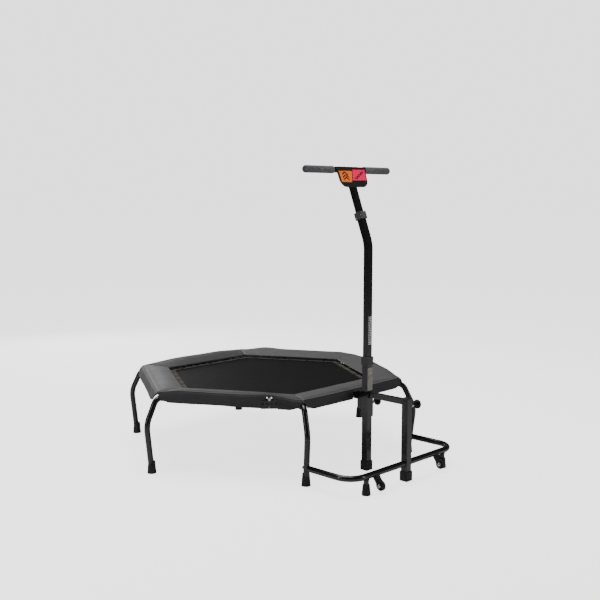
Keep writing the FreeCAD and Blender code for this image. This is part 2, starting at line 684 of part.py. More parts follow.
def boot(name, y):
    """Square rubber boot with a blind pocket for the post."""
    outside = box(f"{name}Outside", "boot_side", "boot_side", "boot_height", y=y)
    pocket = box(f"{name}Pocket", "post_side", "post_side", "boot_height", y=y,
                 z="post_floor_gap")
    return cut(name, outside, pocket)


def plunger_hole(name, y, z):
    return cylinder(name, "plunger_radius + plunger_gap", "knob_start", x="plunger_radius",
                    y=y, z=z, turn=ALONG_X)


def make_posts():
    outer, outer_hollow = square_tube("OuterPost", "post_side", "post_wall",
                                      "post_floor_gap", "outer_post_top", "-outer_post_y")
    base_hole = across_tube("OuterPostHole", "base_tube / 2")
    window = box("OuterPostWindow", "bar_width", "post_side", "bar_height",
                 y="-outer_post_y + post_side / 2", z="bar_z - bar_height / 2")
    node("outer_post", cut("OuterPostCut", outer, outer_hollow, base_hole, window,
                           plunger_hole("OuterPinHole", "-outer_post_y", "outer_pin_z")))
    node("outer_post_boot", boot("OuterBoot", "-outer_post_y"))
    lid = box("CapLid", "post_side", "post_side", "cap_height", y="-outer_post_y",
              z="outer_post_top")
    bevel = doc.addObject("Part::Chamfer", "CapBevel")
    bevel.Base = lid
    bevel.Edges = [(edge, 2, 2) for edge in (2, 6, 10, 12)]
    node("outer_post_cap", bevel)

    inner, inner_hollow = square_tube("InnerPost", "post_side", "post_wall",
                                      "post_floor_gap", "inner_post_top", "-inner_post_y")
    node("inner_post", cut("InnerPostCut", inner, inner_hollow,
                           plunger_hole("InnerPinHole", "-inner_post_y", "inner_pin_z")))
    node("inner_post_boot", boot("InnerBoot", "-inner_post_y"))


def make_sleeve():
    """Sleeve round the inner post, carried by the front side of the ring."""
    height = "inner_post_top - sleeve_base"
    sleeve = box("Sleeve", "sleeve_side", "sleeve_side", height, y="-inner_post_y",
                 z="sleeve_base")
    face = "-inner_post_y + sleeve_side / 2"
    block = box("BracketBlock", "sleeve_side", "bracket_depth", "inner_post_top - bracket_base",
                y=f"{face} + bracket_depth / 2", z="bracket_base")
    reach = "inner_post_y - sleeve_side / 2 - bracket_depth - frame_apothem"
    arm = box("BracketArm", "bracket_arm_width", reach, "bracket_arm_height",
              y=f"-frame_apothem - ({reach}) / 2", z="bracket_arm_base")
    hollow = box("SleeveHollow", "post_side + slide_gap", "post_side + slide_gap",
                 f"{height} + 2", y="-inner_post_y", z="sleeve_base - 1")
    ring = across_tube("SleeveCope", "frame_tube / 2", "-frame_apothem", "frame_z")
    node("post_sleeve", cut("SleeveCut", fuse("SleeveSolid", sleeve, block, arm), hollow, ring,
                            plunger_hole("SleevePinHole", "-inner_post_y", "inner_pin_z")))


def make_crossbar():
    """Bar between the posts, with the hollow plug that drops into the outer post."""
    start = "-inner_post_y - sleeve_side / 2"
    length = "outer_post_y - inner_post_y - sleeve_side / 2"
    middle = f"{start} - ({length}) / 2"
    top = "bar_z + bar_height / 2"
    plug = "post_side - 2 * post_wall - 2 * slide_gap"
    outside = box("BarOutside", "bar_width", length, "bar_height", y=middle,
                  z="bar_z - bar_height / 2")
    inside = box("BarInside", "bar_width - 2 * bar_wall", f"{length} + 2",
                 "bar_height - 2 * bar_wall", y=middle, z="bar_z - bar_height / 2 + bar_wall")
    plug_outside = box("PlugOutside", plug, plug, f"{top} - plug_base", y="-outer_post_y",
                       z="plug_base")
    plug_inner = f"{plug} - 2 * bar_wall"
    plug_inside = box("PlugInside", plug_inner, plug_inner, f"{top} - plug_base",
                      y="-outer_post_y", z="plug_base - bar_wall")
    node("crossbar", cut("Crossbar", fuse("CrossbarSolid", outside, plug_outside), inside,
                         plug_inside, plunger_hole("BarPinHole", "-outer_post_y",
                                                   "outer_pin_z")))


def pull_pin(name, y, z, tip):
    """Knob and plunger in one piece; the plunger is drawn out along +X."""
    tip_height = f"{tip} - knob_start"
    body = lathe(name, (
        ("0", tip_height), ("plunger_radius", tip_height), ("plunger_radius", "0"),
        ("knob_neck_radius", "0"), ("knob_neck_radius", "knob_neck_length"),
        ("knob_radius - 4", "knob_neck_length"), ("knob_radius", "knob_neck_length + 4"),
        ("knob_radius", "knob_length - 4"), ("knob_radius - 5", "knob_length"),
        ("0", "knob_length")))
    locate(body, "knob_start", y, z, ALONG_X)
    return wrap(f"{name}Placed", body)


def make_pull_pins():
    node("pull_pin_outer", pull_pin("OuterPin", "-outer_post_y", "outer_pin_z", "outer_pin_tip"))
    node("pull_pin_inner", pull_pin("InnerPin", "-inner_post_y", "inner_pin_z", "inner_pin_tip"))
    ferrules = []
    for name, face, y, z in (("Outer", "post_side / 2", "-outer_post_y", "outer_pin_z"),
                             ("Inner", "sleeve_side / 2", "-inner_post_y", "inner_pin_z")):
        outside = cylinder(f"Ferrule{name}", "ferrule_radius", "ferrule_length", x=face,
                           y=y, z=z, turn=ALONG_X)
        ferrules.append(cut(f"Ferrule{name}Bored", outside,
                            plunger_hole(f"Ferrule{name}Bore", y, z)))
    node("pin_ferrules", group("PinFerrules", *ferrules))


# ---------------------------------------------------------------- mast

def square(sketch, side, x="0", y="0"):
    half = f"({side}) / 2"
    outline(sketch, ((f"{x} - {half}", f"{y} - {half}"), (f"{x} + {half}", f"{y} - {half}"),
                     (f"{x} + {half}", f"{y} + {half}"), (f"{x} - {half}", f"{y} + {half}")))


def tilted(solid):
    """Stand a solid, drawn round the Z axis, on the mast's bend and lean it to the upper run."""
    lean = Rotation(Vector(1, 0, 0), -val("mast_tilt"))
    solid.Placement = Placement(Vector(0, 0, 0), lean)
    return locate(solid, "0", "-inner_post_y", "mast_bend_z")


def make_mast_socket():
    tube, hollow = square_tube("Socket", "post_side", "post_wall", "socket_base", "socket_top",
                               "-inner_post_y")
    node("mast_socket", cut("SocketCut", tube, hollow))
    collar = box("LowerCollar", "collar_side", "collar_side", "collar_top - collar_base",
                 y="-inner_post_y", z="collar_base")
    bevel = doc.addObject("Part::Chamfer", "LowerCollarBevel")
    bevel.Base = collar
    bevel.Edges = [(edge, 2, 2) for edge in (1, 3, 5, 7)]
    seat = box("LowerCollarSeat", "post_side", "post_side", "socket_top - collar_base + 1",
               y="-inner_post_y", z="collar_base - 1")
    bore = "mast_side + 3 * slide_gap"
    passage = box("LowerCollarBore", bore, bore, "collar_top", y="-inner_post_y",
                  z="collar_base")
    node("lower_collar", cut("LowerCollarCut", bevel, seat, passage))
    node("splice_plate", wrap("SplicePlate", box(
        "PlateSolid", "plate_width", "plate_thickness", "plate_top - plate_base",
        y="-inner_post_y - (post_side + plate_thickness) / 2", z="plate_base")))


def make_mast():
    body = new_body("MastTube")
    path = new_sketch(body, "MastPath", "YZ_Plane")
    top = ("-inner_post_y + mast_reach * sin(mast_tilt)",
           "mast_bend_z + mast_reach * cos(mast_tilt)")
    route(path, (("-inner_post_y", "mast_base"), ("-inner_post_y", "mast_bend_z"), top),
          ("mast_bend",))
    profile = new_sketch(body, "MastProfile", "XY_Plane", "mast_base")
    square(profile, "mast_side", y="-inner_post_y")
    square(profile, "mast_side - 2 * mast_wall", y="-inner_post_y")
    sweep = body.newObject("PartDesign::AdditivePipe", "MastSweep")
    sweep.Profile = profile
    sweep.Spine = path
    node("mast_tube", body)

    collar = box("UpperCollar", "collar_side", "collar_side",
                 "upper_collar_end - upper_collar_start", z="upper_collar_start")
    bevel = doc.addObject("Part::Chamfer", "UpperCollarBevel")
    bevel.Base = collar
    bevel.Edges = [(edge, 2, 2) for edge in (1, 3, 5, 7)]
    seat = box("UpperCollarSeat", "mast_side", "mast_side", "mast_reach - upper_collar_start + 1",
               z="upper_collar_start - 1")
    bore = "stem_side + 3 * slide_gap"
    passage = box("UpperCollarBore", bore, bore, "2 * upper_collar_end", z="upper_collar_start")
    node("upper_collar", wrap("UpperCollarPlaced",
                              tilted(cut("UpperCollarCut", bevel, seat, passage))))


def bar_hole(name, radius):
    """A cylinder along X on the handlebar's axis, in the stem's own upright frame."""
    return cylinder(name, radius, "2 * handlebar_half + 2", x="-handlebar_half - 1",
                    z="bar_reach", turn=ALONG_X)


def make_handlebar():
    outside = box("StemOutside", "stem_side", "stem_side", "bar_reach - stem_start",
                  z="stem_start")
    inside = box("StemInside", "stem_side - 2 * stem_wall", "stem_side - 2 * stem_wall",
                 "bar_reach", z="stem_start - 1")
    stem = cut("StemCut", outside, inside, bar_hole("StemCope", "handlebar_tube / 2"))
    node("handle_stem", wrap("StemPlaced", tilted(stem)))

    run = {"x": "-handlebar_half", "z": "bar_reach", "turn": ALONG_X}
    tube = cut("HandlebarTube",
               cylinder("HandlebarOutside", "handlebar_tube / 2", "2 * handlebar_half", **run),
               cylinder("HandlebarInside", "handlebar_tube / 2 - handlebar_wall",
                        "2 * handlebar_half", **run))
    node("handlebar_tube", wrap("HandlebarPlaced", tilted(tube)))

    for side, sign in (("left", -1), ("right", 1)):
        grip = lathe(f"Grip_{side}", (
            ("0", "handlebar_half"), ("handlebar_tube / 2", "handlebar_half"),
            ("handlebar_tube / 2", "grip_inner_x"), ("grip_radius", "grip_inner_x"),
            ("grip_radius", "grip_outer_x - grip_round"),
            ("grip_radius - grip_round / 2", "grip_outer_x"), ("0", "grip_outer_x")))
        locate(grip, z="bar_reach", turn=Rotation(Vector(0, 1, 0), 90 * sign))
        node(f"grip_{side}", wrap(f"GripPlaced_{side}", tilted(wrap(f"GripLevel_{side}", grip))))

    make_console()


def make_console():
    """Thin plate in front of the bar, clamped round it, with two panels on its face."""
    body = new_body("Console")
    low, top = "bar_reach - console_base", "bar_reach + console_top"
    sketch = outline(new_sketch(body, "ConsoleOutline", "XZ_Plane",
                                "console_back + console_thickness / 2"), (
        ("-console_low_half", low), ("console_low_half", low),
        ("console_top_half", top), ("-console_top_half", top)))
    raised = pad(body, "ConsolePad", sketch, "console_thickness")
    doc.recompute()
    corners = [f"Edge{number + 1}" for number, edge in enumerate(raised.Shape.Edges)
               if edge.BoundBox.ZMax < val(low) + 1 and edge.BoundBox.XLength < 1]
    rounding = body.newObject("PartDesign::Fillet", "ConsoleCorners")
    rounding.Base = (raised, corners)
    bind(rounding, Radius="console_corner")
    doc.recompute()
    face = [f"Edge{number + 1}" for number, edge in enumerate(rounding.Shape.Edges)
            if edge.BoundBox.YMax < -val("console_back + console_thickness / 2")]
    softening = body.newObject("PartDesign::Fillet", "ConsoleEdge")
    softening.Base = (rounding, face)
    bind(softening, Radius="console_edge")

    clamp = cylinder("ConsoleClamp", "clamp_radius", "2 * clamp_half", x="-clamp_half",
                     z="bar_reach", turn=ALONG_X)
    stem_room = box("ConsoleStemRoom", "stem_side", "stem_side", "bar_reach")
    shell = cut("ConsoleCut", fuse("ConsoleSolid", body, clamp), stem_room,
                bar_hole("ConsoleBore", "handlebar_tube / 2"))
    node("console_shroud", wrap("ConsolePlaced", tilted(shell)))

    for side, corners in PANELS.items():
        panel = new_body(f"Panel_{side}")
        face = outline(new_sketch(panel, f"PanelOutline_{side}", "XZ_Plane",
                                  "console_back + console_thickness + panel_thickness / 2"),
                       [(x, f"bar_reach + {up}") for x, up in corners])
        pad(panel, f"PanelPad_{side}", face, "panel_thickness")
        node(f"panel_{side}", wrap(f"PanelPlaced_{side}", tilted(panel)))


# ---------------------------------------------------------------- build and write

def check_model():
    """Stop on any feature that failed and on any sub-part without a good shape."""
    bad = [item.Name for item in doc.Objects if {"Invalid", "Error"} & set(item.State)]
    bad += [label for label, item in nodes.items()
            if item.Shape.isNull() or not item.Shape.isValid() or not item.Shape.Solids]
    if bad:
        raise RuntimeError("failed features: " + ", ".join(bad))


def main():
    make_frame()
    make_hinges()
    make_soft_parts()
    make_legs()
    make_base()
    make_casters()
    make_posts()
    make_sleeve()
    make_crossbar()
    make_pull_pins()
    make_mast_socket()
    make_mast()
    make_handlebar()
    doc.recompute()
    check_model()
    os.makedirs("parts", exist_ok=True)
    for label, item in nodes.items():
        item.Shape.exportStep(f"parts/{label}.step")
    whole = FreeCAD.BoundBox()
    for item in nodes.values():
        whole.add(item.Shape.optimalBoundingBox())
    print(len(nodes), "sub-parts; the whole spans", whole)


main()
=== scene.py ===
"""Looks of the folding mini trampoline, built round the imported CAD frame. Lengths are metres."""

import json
import math
import random

import bmesh
import bpy
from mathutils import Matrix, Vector, noise


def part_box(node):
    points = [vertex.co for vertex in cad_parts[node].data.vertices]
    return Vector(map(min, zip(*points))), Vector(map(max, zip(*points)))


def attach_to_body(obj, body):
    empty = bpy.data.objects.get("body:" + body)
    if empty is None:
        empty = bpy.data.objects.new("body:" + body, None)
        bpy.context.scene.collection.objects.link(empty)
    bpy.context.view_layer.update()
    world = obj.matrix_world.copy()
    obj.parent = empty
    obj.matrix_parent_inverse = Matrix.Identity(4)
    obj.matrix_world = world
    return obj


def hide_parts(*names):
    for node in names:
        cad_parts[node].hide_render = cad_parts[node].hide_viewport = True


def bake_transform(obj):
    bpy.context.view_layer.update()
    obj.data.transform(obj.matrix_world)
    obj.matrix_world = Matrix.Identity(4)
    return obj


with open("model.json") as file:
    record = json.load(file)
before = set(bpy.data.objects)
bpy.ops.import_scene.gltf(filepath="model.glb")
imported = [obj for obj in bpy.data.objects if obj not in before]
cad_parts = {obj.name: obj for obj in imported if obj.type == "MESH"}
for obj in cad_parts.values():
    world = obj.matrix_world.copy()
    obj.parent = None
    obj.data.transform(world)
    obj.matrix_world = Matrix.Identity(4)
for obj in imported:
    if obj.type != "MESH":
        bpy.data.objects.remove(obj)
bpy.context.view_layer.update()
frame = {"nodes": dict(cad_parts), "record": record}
NODES = frame["nodes"]
JOINTS = {joint["name"]: joint for joint in frame["record"]["behaviour"]["joints"]}
MM = 0.001


# ---------------------------------------------------------------- places read from the CAD

def middle(*names):
    """The middle and the size of several CAD nodes taken together."""
    boxes = [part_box(name) for name in names]
    low = Vector([min(box[0][axis] for box in boxes) for axis in range(3)])
    high = Vector([max(box[1][axis] for box in boxes) for axis in range(3)])
    return (low + high) / 2, high - low


mat_middle, mat_size = middle("jump_mat_front", "jump_mat_rear")
CENTRE = Vector((0, mat_middle.y, 0))
MAT_APOTHEM = mat_size.y / 2
FOLD_AXIS = Vector(JOINTS["frame_fold"]["axis"])
FOLD_TURN = math.atan2(FOLD_AXIS.y, FOLD_AXIS.x) - math.radians(30)  # from a side's middle
TO_REAR = Vector((-FOLD_AXIS.y, FOLD_AXIS.x, 0))
SIDES = {"rear_right": 30, "rear": 90, "rear_left": 150,
         "front_left": 210, "front": 270, "front_right": 330}
CORNERS = {"right": 0, "rear_right": 60, "rear_left": 120,
           "left": 180, "front_left": 240, "front_right": 300}
FRONT_CORNERS = ("front_left", "front_right", "right")
FOLDING_SIDES = ("front_left", "rear_right")
HALF_SIDE = math.tan(math.radians(30))  # for a side one unit from the centre
FRAME_R, FRAME_Z, TUBE_R = 512 * MM, 317 * MM, 15 * MM  # ring: side to centre, height, tube
UP = Vector((0, 0, 1))


def side_point(angle, out, along, z):
    """A point from a side's own frame: out from the centre, along the side, and up."""
    turn = math.radians(angle)
    return CENTRE + Vector((math.cos(turn) * out - math.sin(turn) * along,
                            math.sin(turn) * out + math.cos(turn) * along, z))


def smooth(value, low, high):
    """0 below low, 1 above high, and an easy curve between them."""
    step = min(max((value - low) / (high - low), 0), 1)
    return step * step * (3 - 2 * step)


def turns(count):
    """The angles of equal steps round a circle."""
    return [2 * math.pi * step / count for step in range(count)]


def square_to(axis):
    """Unit vectors along, across and above an axis."""
    ahead = Vector(axis).normalized()
    across = ahead.orthogonal().normalized()
    return ahead, across, ahead.cross(across)


def attach(piece, body):
    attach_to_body(piece, body)


def bend_at_fold(piece):
    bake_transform(piece)


# ---------------------------------------------------------------- materials

class Surface:
    """A procedural material, built from a base finish and layers of pattern."""

    def __init__(self, name, rough, metal=0.0, specular=0.5, coat=0.0, sheen=0.0):
        self.material = bpy.data.materials.new(name)
        self.material.use_nodes = True
        self.tree = self.material.node_tree
        self.shader = self.tree.nodes["Principled BSDF"]
        self.place = self.add("ShaderNodeTexCoord").outputs["Object"]
        self.height = None
        for socket, value in (("Metallic", metal), ("Specular IOR Level", specular),
                              ("Roughness", rough), ("Coat Weight", coat),
                              ("Coat Roughness", 0.12), ("Sheen Weight", sheen),
                              ("Sheen Roughness", 0.45)):
            self.shader.inputs[socket].default_value = value

    def add(self, kind, **values):
        made = self.tree.nodes.new(kind)
        for key, value in values.items():
            setattr(made, key, value)
        return made

    def link(self, source, target):
        self.tree.links.new(source, target)

    def stretched(self, scale):
        mapping = self.add("ShaderNodeMapping")
        mapping.inputs["Scale"].default_value = scale
        self.link(self.place, mapping.inputs["Vector"])
        return mapping.outputs["Vector"]

    def cloud(self, scale, detail=3.0, stretch=(1, 1, 1), rough=0.55):
        made = self.add("ShaderNodeTexNoise")
        made.inputs["Scale"].default_value = scale
        made.inputs["Detail"].default_value = detail
        made.inputs["Roughness"].default_value = rough
        self.link(self.stretched(stretch), made.inputs["Vector"])
        return made.outputs["Fac"]

    def cells(self, scale):
        made = self.add("ShaderNodeTexVoronoi")
        made.inputs["Scale"].default_value = scale
        self.link(self.place, made.inputs["Vector"])
        return made.outputs["Distance"]

    def ramp(self, factor, low, high, first=(0, 0, 0, 1), last=(1, 1, 1, 1)):
        made = self.add("ShaderNodeValToRGB")
        made.color_ramp.elements[0].position = low
        made.color_ramp.elements[1].position = high
        made.color_ramp.elements[0].color = first
        made.color_ramp.elements[1].color = last
        self.link(factor, made.inputs["Fac"])
        return made.outputs["Color"]

    def spread(self, factor, low, high):
        made = self.add("ShaderNodeMapRange")
        made.inputs["To Min"].default_value = low
        made.inputs["To Max"].default_value = high
        self.link(factor, made.inputs["Value"])
        return made.outputs["Result"]

    def mixed(self, factor, first, second, blend="MIX"):
        made = self.add("ShaderNodeMix", data_type="RGBA", blend_type=blend)
        for socket, value in ((made.inputs["Factor"], factor), (made.inputs["A"], first),
                              (made.inputs["B"], second)):
            if isinstance(value, (tuple, float, int)):
                if socket.type == "RGBA":
                    value = (*value[:3], 1)
                socket.default_value = value
            else:
                self.link(value, socket)
        return made.outputs["Result"]

    def threads(self, period, directions):
        """Woven threads: crossed waves, one period apart, that lie over and under."""
        waves = []
        for turn in directions:
            spin = self.add("ShaderNodeVectorRotate", rotation_type="Z_AXIS")
            spin.inputs["Angle"].default_value = math.radians(turn)
            self.link(self.place, spin.inputs["Vector"])
            wave = self.add("ShaderNodeTexWave", wave_type="BANDS", bands_direction="X")
            wave.inputs["Scale"].default_value = math.pi / (10 * period)
            wave.inputs["Distortion"].default_value = 0.6
            wave.inputs["Detail"].default_value = 1.0
            self.link(spin.outputs["Vector"], wave.inputs["Vector"])
            waves.append(wave.outputs["Fac"])
        both = self.add("ShaderNodeMath", operation="MAXIMUM")
        for socket, wave in zip(both.inputs, waves):
            self.link(wave, socket)
        return both.outputs[0]

    def colour(self, value):
        self.link(value, self.shader.inputs["Base Color"])

    def roughness(self, factor, low, high):
        self.link(self.spread(factor, low, high), self.shader.inputs["Roughness"])

    def relief(self, factor, strength, depth):
        made = self.add("ShaderNodeBump")
        made.inputs["Strength"].default_value = strength
        made.inputs["Distance"].default_value = depth
        self.link(factor, made.inputs["Height"])
        if self.height is not None:
            self.link(self.height, made.inputs["Normal"])
        self.height = made.outputs["Normal"]
        self.link(self.height, self.shader.inputs["Normal"])
        return self

    def worn(self, base, bare, reach=1.2 * MM, amount=0.5):
        """Base colour with a lighter wear along the edges, broken up by a cloud."""
        soft = self.add("ShaderNodeBevel", samples=4)
        soft.inputs["Radius"].default_value = reach
        turn = self.add("ShaderNodeVectorMath", operation="DOT_PRODUCT")
        self.link(soft.outputs["Normal"], turn.inputs[0])
        self.link(self.add("ShaderNodeNewGeometry").outputs["Normal"], turn.inputs[1])
        edge = self.ramp(turn.outputs["Value"], 0.86, 0.98, (1, 1, 1, 1), (0, 0, 0, 1))
        patch = self.ramp(self.cloud(160), 0.42, 0.6)
        both = self.mixed(1.0, edge, patch, "MULTIPLY")
        share = self.add("ShaderNodeMath", operation="MULTIPLY")
        self.link(both, share.inputs[0])
        share.inputs[1].default_value = amount
        return self.mixed(share.outputs[0], base, bare)


def paint(name, tone, rough, coat):
    """Powder coat: faint orange peel, dusty patches and worn edges."""
    made = Surface(name, rough, specular=0.5, coat=coat)
    light = tuple(channel * 1.35 + 0.001 for channel in tone)
    body = made.mixed(made.cloud(22), tone, light)
    made.colour(made.worn(body, (0.07, 0.066, 0.062), amount=0.4))
    made.roughness(made.cloud(14, 4), rough * 0.85, rough * 1.15)
    return made.relief(made.cloud(700, 2), 0.02, 0.0002)


def plated(name, tone, rough):
    made = Surface(name, rough, metal=1.0)
    made.colour(made.mixed(made.cloud(60), tone, tuple(channel * 0.72 for channel in tone)))
    made.roughness(made.cloud(300, 3, (1, 1, 6)), rough * 0.7, rough * 1.6)
    return made.relief(made.cloud(700, 2), 0.08, 0.0003)


def steel_strip(name):
    """Brushed strip with long fine scratches and slight tarnish."""
    made = Surface(name, 0.42, metal=0.35)
    scratch = made.cloud(260, 4, (6, 6, 0.12))
    clean = made.mixed(scratch, (0.30, 0.285, 0.245), (0.47, 0.45, 0.395))
    made.colour(made.mixed(made.ramp(made.cloud(35), 0.5, 0.8), clean, (0.26, 0.235, 0.19)))
    made.roughness(scratch, 0.34, 0.56)
    return made.relief(scratch, 0.15, 0.0003)


def rubber(name, tone, rough):
    made = Surface(name, rough, specular=0.35)
    dusty = made.ramp(made.cloud(45, 5), 0.45, 0.85)
    light = tuple(channel * 2.1 + 0.01 for channel in tone)
    made.colour(made.mixed(dusty, tone, light))
    made.roughness(made.cloud(80), rough * 0.85, min(rough * 1.2, 1.0))
    return made.relief(made.cloud(1100, 3), 0.22, 0.0004)


def plastic(name, tone, rough):
    made = Surface(name, rough, specular=0.45)
    light = tuple(channel * 1.3 + 0.004 for channel in tone)
    body = made.mixed(made.cloud(30), tone, light)
    made.colour(made.worn(body, tuple(min(channel * 2.5 + 0.05, 1) for channel in tone)))
    made.roughness(made.cloud(120), rough * 0.85, rough * 1.2)
    return made.relief(made.cells(1500), 0.16, 0.0003)


def foam(name):
    """Closed-cell foam: tiny open pores and lighter rubbed patches."""
    made = Surface(name, 0.82, specular=0.25, sheen=0.15)
    pores = made.cells(620)
    speck = made.ramp(pores, 0.05, 0.5, (0.045, 0.045, 0.05, 1), (0.1, 0.1, 0.108, 1))
    made.colour(made.mixed(made.ramp(made.cloud(26, 4), 0.5, 0.8), speck, (0.12, 0.118, 0.124)))
    made.relief(pores, 0.35, 0.0006)
    return made.relief(made.cloud(120), 0.2, 0.0008)


def cover(name, tone):
    """Coated woven cover: fine crossed threads, grain, soft creases and a dusty bloom."""
    made = Surface(name, 0.56, specular=0.42, sheen=0.12)
    weave = made.threads(1.6 * MM, (12, 102))
    dark = tuple(channel * 0.82 for channel in tone)
    light = tuple(channel * 1.16 for channel in tone)
    body = made.mixed(made.cloud(9, 4), dark, light)
    body = made.mixed(made.spread(weave, 0.0, 0.16), body, dark, "MULTIPLY")
    made.colour(made.mixed(made.ramp(made.cloud(55, 5), 0.62, 0.8), body, light))
    made.roughness(made.cloud(40, 4), 0.46, 0.66)
    made.relief(made.cloud(24, 4), 0.22, 0.003)
    made.relief(made.cells(420), 0.12, 0.0005)
    return made.relief(weave, 0.10, 0.0003)


def mesh_fabric(name):
    """Tight polypropylene mesh with a faint diagonal nap."""
    made = Surface(name, 0.7, specular=0.1)
    weave = made.threads(2.0 * MM, (47.5, 137.5))
    nap = made.cloud(11, 5, (1, 3.5, 1), 0.65)
    body = made.mixed(nap, (0.009, 0.0087, 0.0082), (0.024, 0.0235, 0.0228))
    made.colour(made.mixed(made.spread(weave, 0.0, 0.5), body, (0.004, 0.004, 0.004)))
    made.roughness(nap, 0.5, 0.75)
    made.relief(nap, 0.1, 0.002)
    return made.relief(weave, 0.35, 0.0004)


def webbing(name, dark, light, period=2.4 * MM):
    """Ribbed woven tape."""
    made = Surface(name, 0.85, specular=0.12, sheen=0.03)
    ribs = made.threads(period, (0, 60))
    body = made.mixed(made.cloud(70, 4), dark, light)
    made.colour(made.mixed(made.spread(ribs, 0, 0.35), body, dark))
    return made.relief(ribs, 0.5, 0.0006)


def print_ink(name, tone, rough=0.35):
    made = Surface(name, rough, specular=0.5)
    light = tuple(min(channel * 1.12 + 0.01, 1) for channel in tone)
    made.colour(made.mixed(made.cloud(90, 4), tone, light))
    made.roughness(made.cloud(140), rough * 0.8, rough * 1.3)
    return made.relief(made.cells(1300), 0.06, 0.0002)


BLACK = (0.0028, 0.0026, 0.0027)
LOOKS = {
    "black_tube": paint("black_powder_coat", BLACK, 0.25, 0.5),
    "grey_tube": paint("grey_satin_coat", (0.062, 0.062, 0.069), 0.36, 0.1),
    "zinc_steel": plated("bright_zinc", (0.78, 0.78, 0.8), 0.2),
    "bare_steel": steel_strip("brushed_strip"),
    "black_rubber": rubber("black_rubber", (0.022, 0.021, 0.0235), 0.66),
    "wheel_rubber": rubber("wheel_rubber", (0.012, 0.012, 0.013), 0.5),
    "black_plastic": plastic("black_plastic", (0.008, 0.0075, 0.0075), 0.38),
    "grey_plastic": plastic("grey_plastic", (0.058, 0.058, 0.063), 0.5),
    "jump_fabric": mesh_fabric("jump_mesh"),
    "elastic_cord": webbing("elastic_braid", (0.012, 0.012, 0.012), (0.05, 0.05, 0.05), 1.4 * MM),
    "foam_grip": foam("foam_grip"),
    "orange_panel": print_ink("orange_print", (1.0, 0.17, 0.002)),
    "pink_panel": print_ink("pink_print", (0.92, 0.002, 0.085)),
}
BAND = webbing("band_webbing", (0.075, 0.064, 0.054), (0.15, 0.132, 0.115))
TAB = webbing("tab_webbing", (0.008, 0.008, 0.008), (0.02, 0.019, 0.018))
PIPING = rubber("cover_piping", (0.012, 0.011, 0.012), 0.5)
THREAD = webbing("stitch_thread", (0.03, 0.029, 0.03), (0.07, 0.068, 0.07), 0.8 * MM)
WHITE_INK = print_ink("white_print", (0.82, 0.82, 0.8), 0.5)
# dark print for the panel icons, also used as painted shade in the screw's cross recess
DARK_PRINT_AND_SHADE = print_ink("dark_print_and_painted_shade", (0.012, 0.008, 0.008), 0.45)
WELD = paint("painted_weld", (0.007, 0.007, 0.0075), 0.34, 0.2)


def wear_finish(target, surface):
    target.data.materials.clear()
    target.data.materials.append(surface.material)


for part in frame["record"]["subparts"]:
    if part["material_slot"] in LOOKS:
        wear_finish(NODES[part["node"]], LOOKS[part["material_slot"]])


# ---------------------------------------------------------------- mesh helpers

class Shape:
    """Points and faces gathered from several forms, with a material number for each face."""

    def __init__(self):
        self.points, self.faces, self.kinds = [], [], []

    def take(self, points, faces, kind=0):
        start = len(self.points)
        self.points += [tuple(point) for point in points]
        self.faces += [tuple(start + corner for corner in face) for face in faces]
        self.kinds += [kind] * len(faces)

    def rings(self, rows, kind=0, closed=False):
        """A tube through equal rings of points, capped at its ends unless it closes."""
        count, width = len(rows), len(rows[0])
        faces = []
        for row in range(count if closed else count - 1):
            after = (row + 1) % count
            for column in range(width):
                beside = (column + 1) % width
                faces.append((row * width + column, row * width + beside,
                              after * width + beside, after * width + column))
        if not closed:
            faces.append(tuple(range(width))[::-1])
            faces.append(tuple((count - 1) * width + column for column in range(width)))
        self.take([point for row in rows for point in row], faces, kind)

    def cord(self, line, radius, kind=0, closed=False, sides=8, up=UP):
        """A round tube along a line of points; radius may be a function of the point's number."""
        rows = []
        count = len(line)
        for index, point in enumerate(line):
            before = line[index - 1] if index or closed else point
            after = line[(index + 1) % count] if index < count - 1 or closed else point
            ahead = (after - before).normalized()
            across = ahead.cross(up)
            if across.length <= 0.05:
                across = ahead.orthogonal()
            across.normalize()
            above = across.cross(ahead)
            thick = radius(index) if callable(radius) else radius
            rows.append([point + across * math.cos(turn) * thick + above * math.sin(turn) * thick
                         for turn in turns(sides)])
        self.rings(rows, kind, closed)

    def slab(self, outline, depth, kind=0):
        """A flat outline raised by the vector depth."""
        low = [Vector(point) for point in outline]
        high = [point + depth for point in low]
        count = len(low)
        faces = [tuple(range(count))[::-1], tuple(range(count, 2 * count))]
        faces += [(index, (index + 1) % count, count + (index + 1) % count, count + index)
                  for index in range(count)]
        self.take(low + high, faces, kind)

    def dome(self, base, axis, radius, height, kind=0, rings=5, sides=20):
        """A cap that bulges from base along axis."""
        ahead, across, above = square_to(axis)
        rows = []
        for ring in range(rings):
            turn = math.pi / 2 * ring / rings
            size, lift = radius * math.cos(turn), height * math.sin(turn)
            rows.append([base + ahead * lift
                         + (across * math.cos(spin) + above * math.sin(spin)) * size
                         for spin in turns(sides)])
        self.rings(rows, kind)

    def build(self, name, surfaces, smooth_faces=True):
        mesh = bpy.data.meshes.new(name)
        mesh.from_pydata(self.points, [], self.faces)
        for surface in surfaces:
            mesh.materials.append(surface.material)
        for polygon, kind in zip(mesh.polygons, self.kinds):
            polygon.material_index = kind
            polygon.use_smooth = smooth_faces
        form = bmesh.new()
        form.from_mesh(mesh)
        bmesh.ops.recalc_face_normals(form, faces=form.faces)
        form.to_mesh(mesh)
        form.free()
        if smooth_faces:
            mesh.set_sharp_from_angle(angle=math.radians(40))
        made = bpy.data.objects.new(name, mesh)
        bpy.context.scene.collection.objects.link(made)
        return made


